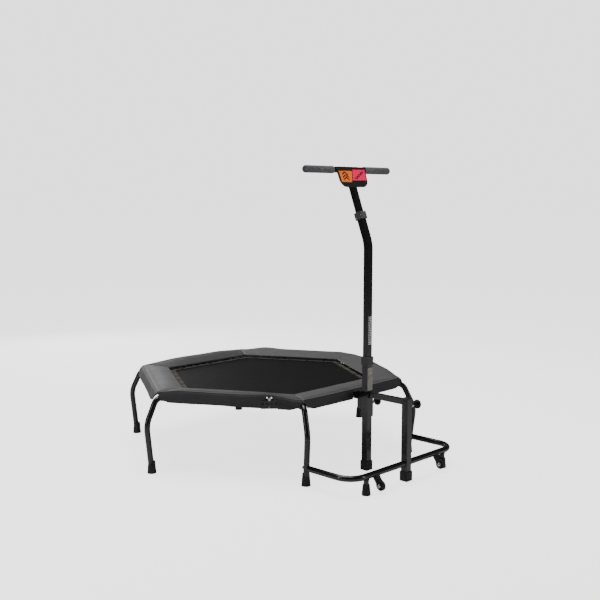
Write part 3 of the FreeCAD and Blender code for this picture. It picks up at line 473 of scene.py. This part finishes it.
def curved(points, steps=4):
    """A smooth line through the points (Catmull-Rom)."""
    line = []
    for index in range(len(points) - 1):
        first = points[max(index - 1, 0)]
        start, stop = points[index], points[index + 1]
        last = points[min(index + 2, len(points) - 1)]
        for step in range(steps):
            share = step / steps
            line.append(0.5 * (2 * start + (stop - first) * share
                               + (2 * first - 5 * start + 4 * stop - last) * share ** 2
                               + (3 * start - first - 3 * stop + last) * share ** 3))
    return line + [points[-1]]


# ---------------------------------------------------------------- safety pads

PAD_IN, PAD_OUT, HEM_FLARE, HEM_Z = 426 * MM, 547 * MM, 15 * MM, 303.5 * MM
TOP_IN, TOP_OUT = 339.5 * MM, 345.5 * MM
UNDER, SEAM_GAP = 333.6 * MM, 0.2 * MM
CORNER_ROUNDING, LEG_OPENING, LEG_OPENING_RISE = 25 * MM, 17 * MM, 19.5 * MM
HALF_PAD = PAD_OUT * HALF_SIDE
HINGE_ALONG, HINGE_ROOM, HINGE_HEM = PAD_OUT * math.tan(FOLD_TURN), 32 * MM, 340.5 * MM
ARM_ROOM, ARM_RISE = 21 * MM, 27 * MM
PUFF_PRESSURE, PUFF_FRAMES, PUFF_CAP = 3.2, 14, 5 * MM
STITCH_PITCH, STITCH_RADIUS, PIPING_RADIUS = 6.5 * MM, 0.42 * MM, 1.15 * MM
COVER_GREY = (0.118, 0.115, 0.118)
TOP_STEPS, SKIRT_STEPS, INSIDE_STEPS, UNDER_STEPS = 16, 9, 6, 10
SEAM_STEP = TOP_STEPS + 3
# each side: shift of the inner edge, shift of the outer edge, more flare at the hem,
# lift of the outer edge at its middle, and painted light and shade: a brightness factor for the
# cloth
PAD_FIT_AND_SHADE = {"rear_right": (0, 4, 0, 3, 1.2), "rear": (0, 0, 0, 9, 0.55),
           "rear_left": (9, 4, 11, -3, 1.0), "front_left": (0, 0, 0, 0, 0.82),
           "front": (0, 0, 0, -2, 1.06), "front_right": (0, 4, 0, 10, 1.02)}
# painted shade: the skirt is the same cloth as the top, made darker to stand in for the shade on
# its hanging faces
SHADED_SKIRT_CLOTH = cover("cover_skirt_painted_shade", (0.036, 0.034, 0.039))


def pad_stations(notches):
    """Shares of the half side from -1 to 1, closer together where the outline turns."""
    places = {round(-1 + 2 * step / 84, 4) for step in range(85)}
    for end in (-1, 1):
        places |= {round(end * (1 - reach), 4) for reach in
                   (0.004, 0.01, 0.017, 0.03, 0.04, 0.055, 0.07, 0.085, 0.1, 0.115)}
    for centre, room in notches:
        for edge in (-1, 1):
            places |= {round((centre + edge * (room + shift * MM)) / HALF_PAD, 4)
                       for shift in (-2.5, -1, 0, 1, 2.5, 5)}
            if room == HINGE_ROOM:
                places |= {round((centre + edge * shift * MM) / HALF_PAD, 4)
                           for shift in (3, 9, 11, 13, 15, 17, 19)}
    return sorted(places)


def pad_section(side, share, seed):
    """The closed section of a pad at one station: (out, height) pairs and how free each is."""
    fit_in, fit_out, fit_flare, fit_lift, _ = PAD_FIT_AND_SHADE[side]
    folds = side in FOLDING_SIDES
    along, corner = share * HALF_PAD, (1 - abs(share)) * HALF_PAD
    from_hinge = along - HINGE_ALONG
    wave = noise.noise(Vector((along * 7, seed, 0))), noise.noise(Vector((along * 16, seed, 5)))
    inset = CORNER_ROUNDING - math.sqrt(CORNER_ROUNDING ** 2
                                        - max(CORNER_ROUNDING / 2 - corner, 0) ** 2)
    out = PAD_OUT + fit_out * MM - inset + wave[0] * 1.2 * MM
    inner = PAD_IN + fit_in * MM + wave[1] * 0.8 * MM
    settle = smooth(corner, 0, 9 * MM)
    crown = (5.5 + 1.5 * wave[0]) * MM * (0.35 + 0.65 * smooth(corner, 0, 160 * MM)) * settle
    lift = fit_lift * MM * smooth(corner, 0, 190 * MM)
    if folds:
        lift = (9 * smooth(along, -HALF_PAD, 90 * MM - HALF_PAD)
                + 7 * smooth(from_hinge, -120 * MM, 0)) * MM
        if from_hinge > 0:
            lift *= 1 - smooth(from_hinge, -10 * MM, 125 * MM)
    top_in = TOP_IN + wave[1] * 0.8 * MM - 1.2 * MM * (1 - settle)
    top_out = TOP_OUT + lift + wave[0] * 1.2 * MM - 1.5 * MM * (1 - settle)

    hem = HEM_Z + wave[1] * 1.6 * MM + 9 * MM * (1 - smooth(corner, 20 * MM, 62 * MM))
    if corner < LEG_OPENING:
        hem += LEG_OPENING_RISE * math.sqrt(1 - (corner / LEG_OPENING) ** 2)
    if folds:
        away = abs(from_hinge)
        over = HINGE_HEM + 10 * MM * (1 - smooth(away, 9 * MM, 17 * MM))
        hem += (over - hem) * (1 - smooth(away, HINGE_ROOM - 1 * MM, HINGE_ROOM + 2 * MM))
    if side == "front":
        hem += ARM_RISE * (1 - smooth(abs(along), ARM_ROOM - 1 * MM, ARM_ROOM + 2 * MM))
    hem = min(hem, top_out - 8 * MM)

    def surface(step):
        reach = inner + 3 * MM + (out - inner - 8 * MM) * step
        rise = lift * smooth(reach, 455 * MM, 540 * MM) - lift * step
        return reach, (top_in + (top_out - top_in) * step + rise
                       + crown * math.sin(math.pi * min(step * 1.04, 1)) ** 0.85)

    def face(z):
        """How far out the skirt hangs at this height."""
        drop = min(max((top_out - z) / (top_out - HEM_Z), 0), 1.1)
        flare = (HEM_FLARE + fit_flare * MM) * drop ** 0.9
        return (out + 0.8 * MM + flare + 2.2 * MM * math.sin(math.pi * min(drop, 1))
                + 2.0 * MM * wave[0] * drop + 1.2 * MM * wave[1] * drop ** 2)

    section = [(*surface(step / TOP_STEPS), 1.0) for step in range(TOP_STEPS + 1)]
    section += [(out + shift * MM, top_out - drop * MM, free) for shift, drop, free in
                ((-2.2, 0.4, 0.6), (-0.4, 1.6, 0.2), (-0.2, 3.0, 0.0), (0.9, 4.2, 0.2))]
    start = top_out - 6.5 * MM
    for step in range(SKIRT_STEPS):
        z = start + (hem + 0.8 * MM - start) * step / (SKIRT_STEPS - 1)
        section.append((face(z), z, 0.35 * math.sin(math.pi * step / (SKIRT_STEPS - 1))))
    edge = face(hem)
    section += [(edge + 0.3 * MM, hem - 0.2 * MM, 0), (edge - 1.2 * MM, hem - 1 * MM, 0),
                (edge - 3 * MM, hem - 0.3 * MM, 0)]

    def under(reach):
        """The underside, arched over the ring tube and well over the hinge."""
        arch = 6.4 * MM * (smooth(reach, 487 * MM, 500 * MM)
                           * (1 - smooth(reach, 526 * MM, 540 * MM)))
        if folds:
            near = 1 - smooth(abs(from_hinge), 10 * MM, 20 * MM)
            room = 18 * MM * smooth(reach, 474 * MM, 494 * MM)
            arch = max(arch, near * room)
        return UNDER + arch

    root = out - 7 * MM
    for step in range(INSIDE_STEPS):
        z = hem + 1 * MM + (under(root) - hem - 1 * MM) * step / (INSIDE_STEPS - 1)
        ease = step / (INSIDE_STEPS - 1)
        section.append(((face(z) - 4 * MM) * (1 - ease ** 3) + root * ease ** 3, z, 0))
    for step in range(1, UNDER_STEPS + 1):
        reach = root + (inner + 4 * MM - root) * step / UNDER_STEPS
        section.append((reach, under(reach), 0))
    section += [(inner + 1.2 * MM, UNDER + 0.8 * MM, 0), (inner, (UNDER + top_in) / 2, 0),
                (inner + 1.0 * MM, top_in - 0.8 * MM, 0.3)]
    return section


def puff(piece, freedom):
    """Swell a closed cover with the cloth simulation; freedom says how far each point may go."""
    rest = [vertex.co.copy() for vertex in piece.data.vertices]
    held = piece.vertex_groups.new(name="held")
    for index, free in enumerate(freedom):
        held.add([index], 1 - 0.92 * free, "REPLACE")
    cloth = piece.modifiers.new("puff", "CLOTH")
    settings = cloth.settings
    settings.quality = 5
    settings.mass = 0.3
    settings.tension_stiffness = settings.compression_stiffness = 14
    settings.shear_stiffness = 6
    settings.bending_stiffness = 0.8
    settings.use_pressure = True
    settings.uniform_pressure_force = PUFF_PRESSURE
    settings.vertex_group_mass = "held"
    settings.pin_stiffness = 0.8
    settings.effector_weights.gravity = 0
    cloth.point_cache.frame_start, cloth.point_cache.frame_end = 1, PUFF_FRAMES
    for number in range(1, PUFF_FRAMES + 1):
        bpy.context.scene.frame_set(number)
    made = piece.evaluated_get(bpy.context.evaluated_depsgraph_get())
    swollen = [vertex.co.copy() for vertex in made.data.vertices]
    piece.modifiers.clear()
    piece.vertex_groups.clear()
    bpy.context.scene.frame_set(1)
    for vertex, old, new, free in zip(piece.data.vertices, rest, swollen, freedom):
        move = (new - old) * min(free * 1.2, 1)
        if move.length > PUFF_CAP:
            move *= PUFF_CAP / move.length
        vertex.co = old + move


def stitches(shape, line, kind):
    """Short raised threads along a line of (point, up) pairs."""
    travelled, target = 0.0, STITCH_PITCH / 2
    for (start, up), (stop, _) in zip(line, line[1:]):
        run = (stop - start).length
        ahead = (stop - start) / run
        while travelled + run >= target:
            point = start + ahead * (target - travelled)
            reach = ahead * STITCH_PITCH * 0.31
            thread = [point - reach - up * 0.15 * MM, point - reach * 0.6 + up * 0.42 * MM,
                      point + reach * 0.6 + up * 0.42 * MM, point + reach - up * 0.15 * MM]
            shape.cord(thread, STITCH_RADIUS, kind, sides=5, up=up)
            target += STITCH_PITCH
        travelled += run


def make_pad(side, seed):
    """A padded cover with its skirt, piping and two rows of stitches."""
    angle = SIDES[side]
    folds = side in FOLDING_SIDES
    notches = []
    if folds:
        notches.append((HINGE_ALONG, HINGE_ROOM))
    if side == "front":
        notches.append((0.0, ARM_ROOM))
    shape, rows, freedom = Shape(), [], []
    for share in pad_stations(notches):
        section = pad_section(side, share, seed)
        clear = 1 - SEAM_GAP / (PAD_IN * HALF_SIDE) if abs(share) == 1 else 1
        rows.append([side_point(angle, out, share * clear * out * HALF_SIDE, z)
                     for out, z, _ in section])
        ends = smooth((1 - abs(share)) * HALF_PAD, 0, 12 * MM)
        freedom += [free * ends for _, _, free in section]
    # painted light and shade: the one cover cloth is made lighter or darker on each side by its
    # factor, as light falls on that side
    cloth = cover(f"cover_{side}", tuple(channel * PAD_FIT_AND_SHADE[side][4] for channel in COVER_GREY))
    shape.rings(rows)
    width = len(rows[0])
    # painted shade: the skirt's faces take the darker copy of the cover
    skirt = range(SEAM_STEP, SEAM_STEP + 5 + SKIRT_STEPS)
    shape.kinds = [int(index < width * (len(rows) - 1) and index % width in skirt)
                   for index in range(len(shape.faces))]
    pad = shape.build(f"soft_pad_{side}", [cloth, SHADED_SKIRT_CLOTH])
    puff(pad, freedom)

    places = [vertex.co.copy() for vertex in pad.data.vertices]
    trim = Shape()
    trim.cord([places[row * width + SEAM_STEP] for row in range(2, len(rows) - 2)], PIPING_RADIUS)
    for level in (TOP_STEPS - 1, TOP_STEPS - 2):
        line = []
        for row in range(4, len(rows) - 4):
            point = places[row * width + level]
            side_way = places[row * width + level - 1] - places[row * width + level + 1]
            along = places[(row + 1) * width + level] - places[(row - 1) * width + level]
            up = side_way.cross(along).normalized()
            line.append((point, up if up.z > 0 else -up))
        stitches(trim, line, 1)
    made = trim.build(f"pad_trim_{side}", [PIPING, THREAD])
    for piece in (pad, made):
        if folds:
            bend_at_fold(piece)
        else:
            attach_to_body(piece, "front_half" if side in ("front", "front_right") else "rear_half")
    return pad


pads = {side: make_pad(side, 3.7 * number + 1.3) for number, side in enumerate(SIDES)}
for side in ("front", "front_right", "rear", "rear_left"):
    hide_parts(f"pad_{side}")
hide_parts("hinge_pads_front")
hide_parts("hinge_pads_rear")


# ---------------------------------------------------------------- jump mat, band and cords

MAT_Z, MAT_HALF, MAT_SAG = 322.2 * MM, 0.7 * MM, 3.6 * MM
BAND_IN = 403 * MM
BAND_STEPS = 44
LOOP_PITCH = 92 * MM
LACE_PITCH, LACE_COUNT, LACE_RADIUS = 46 * MM, 11, 2.9 * MM
LACE_FOLD_ROOM = 52 * MM


def ring_point(apothem, side, share, z):
    return side_point(SIDES[side], apothem, share * apothem * HALF_SIDE, z)


def ring_line(apothem, z):
    """A line round all six sides, at a distance and a height."""
    return [ring_point(apothem, side, -1 + 2 * step / BAND_STEPS, z)
            for side in SIDES for step in range(BAND_STEPS)]


def make_mat():
    """One stretched six-sided sheet, a touch lower in the middle and drawn by its loops."""
    rings, steps = 40, 40
    rows = []
    for ring in range(1, rings + 1):
        size = MAT_APOTHEM * ring / rings
        row = []
        for side in SIDES:
            for step in range(steps):
                share = -1 + 2 * step / steps
                pull = math.cos(2 * math.pi * share * size * HALF_SIDE / LOOP_PITCH)
                rim = smooth(size, MAT_APOTHEM - 45 * MM, MAT_APOTHEM)
                sag = MAT_SAG * (1 - (size / MAT_APOTHEM) ** 2)
                row.append(ring_point(size, side, share, MAT_Z - sag + 0.5 * MM * pull * rim))
        rows.append(row)
    shape = Shape()
    width = len(rows[0])
    for offset in (MAT_HALF, -MAT_HALF):
        points = [point + Vector((0, 0, offset)) for row in rows for point in row]
        points.append(CENTRE + UP * (MAT_Z - MAT_SAG + offset))
        faces = [(row * width + column, row * width + (column + 1) % width,
                  (row + 1) * width + (column + 1) % width, (row + 1) * width + column)
                 for row in range(rings - 1) for column in range(width)]
        faces += [(len(points) - 1, column, (column + 1) % width) for column in range(width)]
        shape.take(points, faces)
    layer = rings * width + 1
    rim = (rings - 1) * width
    shape.faces += [(rim + column, rim + (column + 1) % width,
                     layer + rim + (column + 1) % width, layer + rim + column)
                    for column in range(width)]
    shape.kinds += [0] * width
    return shape.build("jump_mat_sheet", [LOOKS["jump_fabric"]])


def make_band():
    """Sewn border of the mat: tape, edging, and the tabs that hold the loops."""
    shape = Shape()
    top = MAT_Z + MAT_HALF
    outer = MAT_APOTHEM - 1 * MM
    corners = ((BAND_IN, -0.4 * MM, 0), (outer, -0.4 * MM, 0), (outer, 1.2 * MM, 1),
               ((BAND_IN + outer) / 2, 1.5 * MM, 1), (BAND_IN, 1.2 * MM, 1))
    lines = [ring_line(apothem, top + rise) for apothem, rise, _ in corners]
    shape.rings([[line[number] + UP * (waves * 0.25 * MM * math.sin(number % BAND_STEPS * 1.7))
                  for line, (_, _, waves) in zip(lines, corners)]
                 for number in range(len(lines[0]))], 0, closed=True)
    for apothem in (BAND_IN - 0.6 * MM, MAT_APOTHEM - 1.2 * MM):
        shape.cord(ring_line(apothem, top + 0.7 * MM), 1.3 * MM, 1, closed=True, sides=7)
    for side in SIDES:
        for step in (-2, -1, 0, 1, 2):
            along = step * LOOP_PITCH
            outline = [side_point(SIDES[side], out, along + edge * 3.6 * MM, height)
                       for out, height in ((BAND_IN - 2 * MM, top + 0.9 * MM),
                                           (BAND_IN + 3 * MM, top + 2.1 * MM),
                                           (MAT_APOTHEM - 2 * MM, top + 2.3 * MM),
                                           (MAT_APOTHEM + 5 * MM, top - 0.6 * MM))
                       for edge in (-1, 1)]
            rows = [[left, right, right - UP * 1.1 * MM, left - UP * 1.1 * MM]
                    for left, right in zip(outline[::2], outline[1::2])]
            shape.rings(rows, 1)
    return shape.build("mat_border", [BAND, TAB])


def lace_points(side, half):
    """The elastic cord's way along one side: mat loop, over the tube, round it and back."""
    fold_at = FRAME_R * math.tan(FOLD_TURN)
    # past the fold line the front-left side belongs to the front half, the other one doesn't
    past = half if side == "front_left" else -half
    run = []
    for step in range(LACE_COUNT + 1):
        along = (step - LACE_COUNT / 2) * LACE_PITCH
        if side in FOLDING_SIDES and (along - fold_at) * past <= LACE_FOLD_ROOM:
            continue
        run.append(side_point(SIDES[side], MAT_APOTHEM + 3 * MM, along * 0.91, MAT_Z - 1 * MM))
        if step == LACE_COUNT:
            break
        run.append(side_point(SIDES[side], 470 * MM, along * 0.94 + LACE_PITCH * 0.3, 327 * MM))
        for number, turn in enumerate((140, 100, 50, 0, -50, -100, -140)):
            spin = math.radians(turn)
            run.append(side_point(SIDES[side], FRAME_R + math.cos(spin) * 18.2 * MM,
                                  along + LACE_PITCH / 2 + (number - 3) * 1.6 * MM,
                                  FRAME_Z + math.sin(spin) * 18.2 * MM))
        back = (along + LACE_PITCH) * 0.94 - LACE_PITCH * 0.25
        run.append(side_point(SIDES[side], 470 * MM, back, 308 * MM))
    return run


def make_lacing(label, half, sides):
    shape = Shape()
    for side in sides:
        run = lace_points(side, half)
        if len(run) > 1:
            shape.cord(curved(run, 3), LACE_RADIUS, sides=7)
            for hook in run[::10]:
                shape.dome(hook + UP * 1.5 * MM, UP, 5 * MM, 2.4 * MM, 1, 3, 12)
    lacing = shape.build(f"mat_lacing_{label}", [LOOKS["elastic_cord"], LOOKS["black_plastic"]])
    attach(lacing, f"{label}_half")
    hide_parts(f"mat_cords_{label}")


mat = make_mat()
border = make_band()
for piece in (mat, border):
    bend_at_fold(piece)
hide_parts("jump_mat_front", "jump_mat_rear")
make_lacing("front", 1, ("front", "front_right", "front_left", "rear_right"))
make_lacing("rear", -1, ("rear", "rear_left", "front_left", "rear_right"))


# ---------------------------------------------------------------- welds, bolts and caps

def beaded(thick):
    """The radius of a weld bead, which swells and narrows along its line."""
    def radius(index):
        return thick * (1 + 0.22 * math.sin(index * 2.1))
    return radius


def weld_ring(shape, centre, axis, radius, thick):
    """A weld bead round a tube."""
    ahead, across, above = square_to(axis)
    line = [centre + across * math.cos(turn) * radius + above * math.sin(turn) * radius
            for turn in turns(72)]
    shape.cord(line, beaded(thick), closed=True, sides=7, up=ahead)


post_middle, post_size = middle("outer_post")
inner_middle, _ = middle("inner_post")
_, stub_size = middle("base_stubs")
POST_HALF = post_size.x / 2
BASE_Y, BASE_Z, BASE_R = post_middle.y, 75 * MM, 12.5 * MM
STUB_R, STUB_INSET = 11.6 * MM, 11 * MM
BAR_HALF_HEIGHT = 12 * MM

welds = Shape()
for direction in (-1, 1):
    weld_ring(welds, Vector((direction * POST_HALF, BASE_Y, BASE_Z)), (1, 0, 0),
              BASE_R + 0.6 * MM, 1.7 * MM)
arm_y = CENTRE.y - FRAME_R - TUBE_R + 0.6 * MM
for height in (306 * MM, 326 * MM):
    welds.cord([Vector((step * 1.5 * MM, arm_y, height)) for step in range(-11, 12)],
               beaded(1.7 * MM), sides=7)
for direction in (-1, 1):
    weld_ring(welds, Vector((direction * (stub_size.x / 2 - STUB_INSET), BASE_Y, BASE_Z - STUB_R)),
              UP, STUB_R, 1.5 * MM)
_, crossbar_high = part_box("crossbar")
bar_z, bar_half = crossbar_high.z - BAR_HALF_HEIGHT, crossbar_high.x
for x, z in ((-bar_half, 0), (bar_half, 0), (0, BAR_HALF_HEIGHT), (0, -BAR_HALF_HEIGHT)):
    start = Vector((x, crossbar_high.y, bar_z + z))
    spread = UP * 11.5 * MM if x else Vector((bar_half, 0, 0))
    welds.cord([start + spread * (step / 8) for step in range(-8, 9)], beaded(1.6 * MM), sides=7,
               up=Vector((0, 1, 0)))
attach(welds.build("weld_beads_front", [WELD]), "front_half")


# from the centre to a hinge saddle's outer face, along the fold line
SADDLE_FACE = 520 * MM / math.cos(FOLD_TURN) + 19.8 * MM


def hinge_bolts(label, way):
    """Hexagon bolts that clamp the saddles to the ring tube, two on each leaf."""
    shape = Shape()
    for out in (-FOLD_AXIS, FOLD_AXIS):
        for step in (10, 26):
            base = CENTRE + out * SADDLE_FACE + TO_REAR * way * step * MM + UP * 316 * MM
            outline = [base + (TO_REAR * math.cos(turn) + UP * math.sin(turn)) * 5 * MM
                       for turn in turns(6)]
            shape.slab(outline, out * 3.4 * MM)
            shape.dome(base + out * 3.4 * MM, out, 3.6 * MM, 1.2 * MM, 0, 4, 14)
    made = shape.build(f"hinge_bolts_{label}", [LOOKS["black_tube"]])
    attach(made, f"{label}_half")


hinge_bolts("front", -1)
hinge_bolts("rear", 1)


def leg_trim(label, corners):
    """Beads at the sockets' roots and the spring button that locks each leg."""
    shape = Shape()
    for corner in corners:
        turn = math.radians(CORNERS[corner])
        out = Vector((math.cos(turn), math.sin(turn), 0))
        side = Vector((-math.sin(turn), math.cos(turn), 0))
        root = CENTRE + UP * FRAME_Z
        weld_ring(shape, root + out * 610.5 * MM, out, 15.7 * MM, 1.7 * MM)
        weld_ring(shape, root + out * 621 * MM, out, 14.2 * MM, 1.1 * MM)
        for way in (-1, 1):
            base = root + out * 615.5 * MM + side * way * 15.2 * MM
            shape.dome(base, side * way, 3.6 * MM, 3.2 * MM, 1)
        shape.dome(root + out * 629 * MM + UP * 12.2 * MM, UP, 4.2 * MM, 2.6 * MM, 1)
    made = shape.build(f"leg_trim_{label}", [WELD, LOOKS["zinc_steel"]])
    attach(made, f"{label}_half")


leg_trim("front", FRONT_CORNERS)
leg_trim("rear", [corner for corner in CORNERS if corner not in FRONT_CORNERS])


def screw(shape, base, axis, radius, kind, recess_shade_kind):
    """Pan-head screw whose cross recess is painted shade: a dark raised cross in place of the shade
    inside the recess.
    """
    ahead, across, above = square_to(axis)
    shape.dome(base, ahead, radius, radius * 0.5, kind, 6, 28)
    # painted shade: the cross is a thin dark slab, not a cut recess
    for first, second in ((across, above), (above, across)):
        outline = [base + ahead * radius * 0.40 + first * radius * 0.55 * one
                   + second * radius * 0.13 * two
                   for one, two in ((-1, -1), (1, -1), (1, 1), (-1, 1))]
        shape.slab(outline, ahead * radius * 0.125, recess_shade_kind)


plate_low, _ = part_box("splice_plate")
axle_middle, _ = middle("caster_axles")
hardware = Shape()
screw(hardware, Vector((0.5 * MM, plate_low.y - 0.1 * MM, 428 * MM)), (0, -1, 0), 6.4 * MM, 0, 1)
for label in ("left", "right"):
    fork_middle, fork_size = middle(f"caster_fork_{label}")
    for way in (-1, 1):
        base = Vector((fork_middle.x + way * (fork_size.x / 2 + 0.8 * MM),
                       axle_middle.y, axle_middle.z))
        hardware.dome(base, (way, 0, 0), 8.4 * MM, 4.6 * MM, 0, 6, 28)
attach(hardware.build("screws_and_hub_caps", [LOOKS["zinc_steel"], DARK_PRINT_AND_SHADE]),
       "front_half")


# ---------------------------------------------------------------- printed marks

marks = Shape()
FACE_Y = inner_middle.y - 13.55 * MM
MARK_LOW, MARK_HIGH, MARK_PITCH, MARK_HEIGHT = 546 * MM, 662 * MM, 7.2 * MM, 4.6 * MM
MARK_LEAN, MARK_GAP, MARK_LEAST = 1.4 * MM, 0.8 * MM, 3.5 * MM
pick = random.Random(11)
for step in range(int((MARK_HIGH - MARK_LOW) / MARK_PITCH) + 1):
    z = MARK_LOW + step * MARK_PITCH
    left, right = -11.5 * MM, (11.5 if step % 3 else 12.2) * MM
    cuts = [left, *sorted(pick.uniform(-7, 7) * MM for _ in range(1 if step % 2 else 2)), right]
    for start, stop in zip(cuts, cuts[1:]):
        if stop - start >= MARK_LEAST:
            low, high = start + MARK_GAP, stop - MARK_GAP
            marks.slab([(low, FACE_Y, z), (high, FACE_Y, z),
                        (high + MARK_LEAN, FACE_Y, z + MARK_HEIGHT),
                        (low + MARK_LEAN, FACE_Y, z + MARK_HEIGHT)], Vector((0, -0.12 * MM, 0)))
attach(marks.build("mast_height_marks", [WHITE_INK], False), "mast")

RISE = Vector(JOINTS["handlebar_height"]["axis"])
FRONT = Vector((0, -RISE.z, RISE.y))
PANEL_FACE = 18.55 * MM
bar_middle, _ = middle("handlebar_tube")
icons = Shape()


def panel_figure(corners):
    """A flat figure on the panels' face, from (across, up) pairs in millimetres."""
    icons.slab([bar_middle + Vector((x * MM, 0, 0)) + RISE * up * MM + FRONT * PANEL_FACE
                for x, up in corners], FRONT * 0.22 * MM)


for level in (0, 1, 2):
    low = -55 + level * 11.5
    lean = -0.1 * (low + 36)
    panel_figure([(-67 + lean, low), (-49 + lean, low + 11), (-31 + lean, low),
                  (-31 + lean, low + 7), (-49 + lean, low + 18), (-67 + lean, low + 7)])
for level in (0, 1, 2, 3):
    left, low = 9 + level * 14, -46 + level * 8
    panel_figure([(left, low), (left + 17, low), (left + 17, low + 13), (left + 12, low + 13),
                  (left + 12, low + 5), (left, low + 5)])
attach(icons.build("panel_icons", [DARK_PRINT_AND_SHADE], False), "handlebar")


# ---------------------------------------------------------------- floor, light and camera

FLOOR_LIFT, BACKDROP_LIFT, AMBIENT = 2.15, 2.2, 0.07
FLOOR_HALF, FLOOR_DROP = 40, -0.0005


def camera_lift(tree, low, high):
    """A strength that is high for camera rays and low for all other rays."""
    rays = tree.nodes.new("ShaderNodeLightPath")
    gain = tree.nodes.new("ShaderNodeMapRange")
    gain.inputs["To Min"].default_value = low
    gain.inputs["To Max"].default_value = high
    tree.links.new(rays.outputs["Is Camera Ray"], gain.inputs["Value"])
    return gain.outputs["Result"]


def stage_material():
    """Pale matt floor, lifted for the camera so that it meets the backdrop without a line."""
    made = bpy.data.materials.new("pale_floor")
    made.use_nodes = True
    tree = made.node_tree
    shader = tree.nodes["Principled BSDF"]
    shader.inputs["Base Color"].default_value = (0.9, 0.9, 0.9, 1)
    shader.inputs["Roughness"].default_value = 0.9
    shader.inputs["Specular IOR Level"].default_value = 0.0
    shader.inputs["Emission Color"].default_value = (1, 1, 1, 1)
    tree.links.new(camera_lift(tree, 0, FLOOR_LIFT), shader.inputs["Emission Strength"])
    return made


floor_mesh = bpy.data.meshes.new("floor")
floor_mesh.from_pydata([(x * FLOOR_HALF, y * FLOOR_HALF, FLOOR_DROP)
                        for x, y in ((-1, -1), (1, -1), (1, 1), (-1, 1))], [], [(0, 1, 2, 3)])
floor_mesh.materials.append(stage_material())
floor = bpy.data.objects.new("floor", floor_mesh)
bpy.context.scene.collection.objects.link(floor)

world = bpy.data.worlds.new("studio")
world.use_nodes = True
background = world.node_tree.nodes["Background"]
background.inputs["Color"].default_value = (1, 1, 1, 1)
world.node_tree.links.new(camera_lift(world.node_tree, AMBIENT, BACKDROP_LIFT),
                          background.inputs["Strength"])
bpy.context.scene.world = world


def lamp(name, place, aim, size, power):
    light = bpy.data.lights.new(name, "AREA")
    light.shape = "RECTANGLE"
    light.size, light.size_y = size
    light.energy = power
    made = bpy.data.objects.new(name, light)
    made.location = place
    made.visible_camera = False
    made.rotation_euler = (Vector(aim) - Vector(place)).to_track_quat("-Z", "Y").to_euler()
    bpy.context.scene.collection.objects.link(made)
    return light


lamp("top_light", (-0.3, 0.5, 4.2), (0, 0.1, 0.3), (3.0, 3.0), 120)
lamp("far_light", (1.0, 3.6, 1.3), (-0.3, 0.2, 0.3), (1.6, 1.2), 26)
lamp("left_strip", (-3.4, 0.4, 1.5), (0, -0.2, 0.5), (0.3, 2.4), 17)
console_lamp = lamp("console_light", (-0.5, -3.6, 2.6), (0, -0.42, 1.24), (0.4, 0.4), 0.5)
console_lamp.spread = math.radians(12)
lamp("right_strip", (1.6, -3.6, 1.5), (0, -0.4, 0.5), (0.3, 2.4), 20)

camera_data = bpy.data.cameras.new("camera")
camera_data.lens = 53.48
camera_data.sensor_width = 36
camera = bpy.data.objects.new("camera", camera_data)
bpy.context.scene.collection.objects.link(camera)
yaw, pitch = math.radians(45.557), math.radians(6.713)
look = Vector((math.sin(yaw) * math.cos(pitch), math.cos(yaw) * math.cos(pitch), -math.sin(pitch)))
camera.location = CENTRE + Vector((-2.8637, -3.0283, 1.17375))
camera.rotation_mode = "QUATERNION"
camera.rotation_quaternion = look.to_track_quat("-Z", "Y")
bpy.context.scene.camera = camera
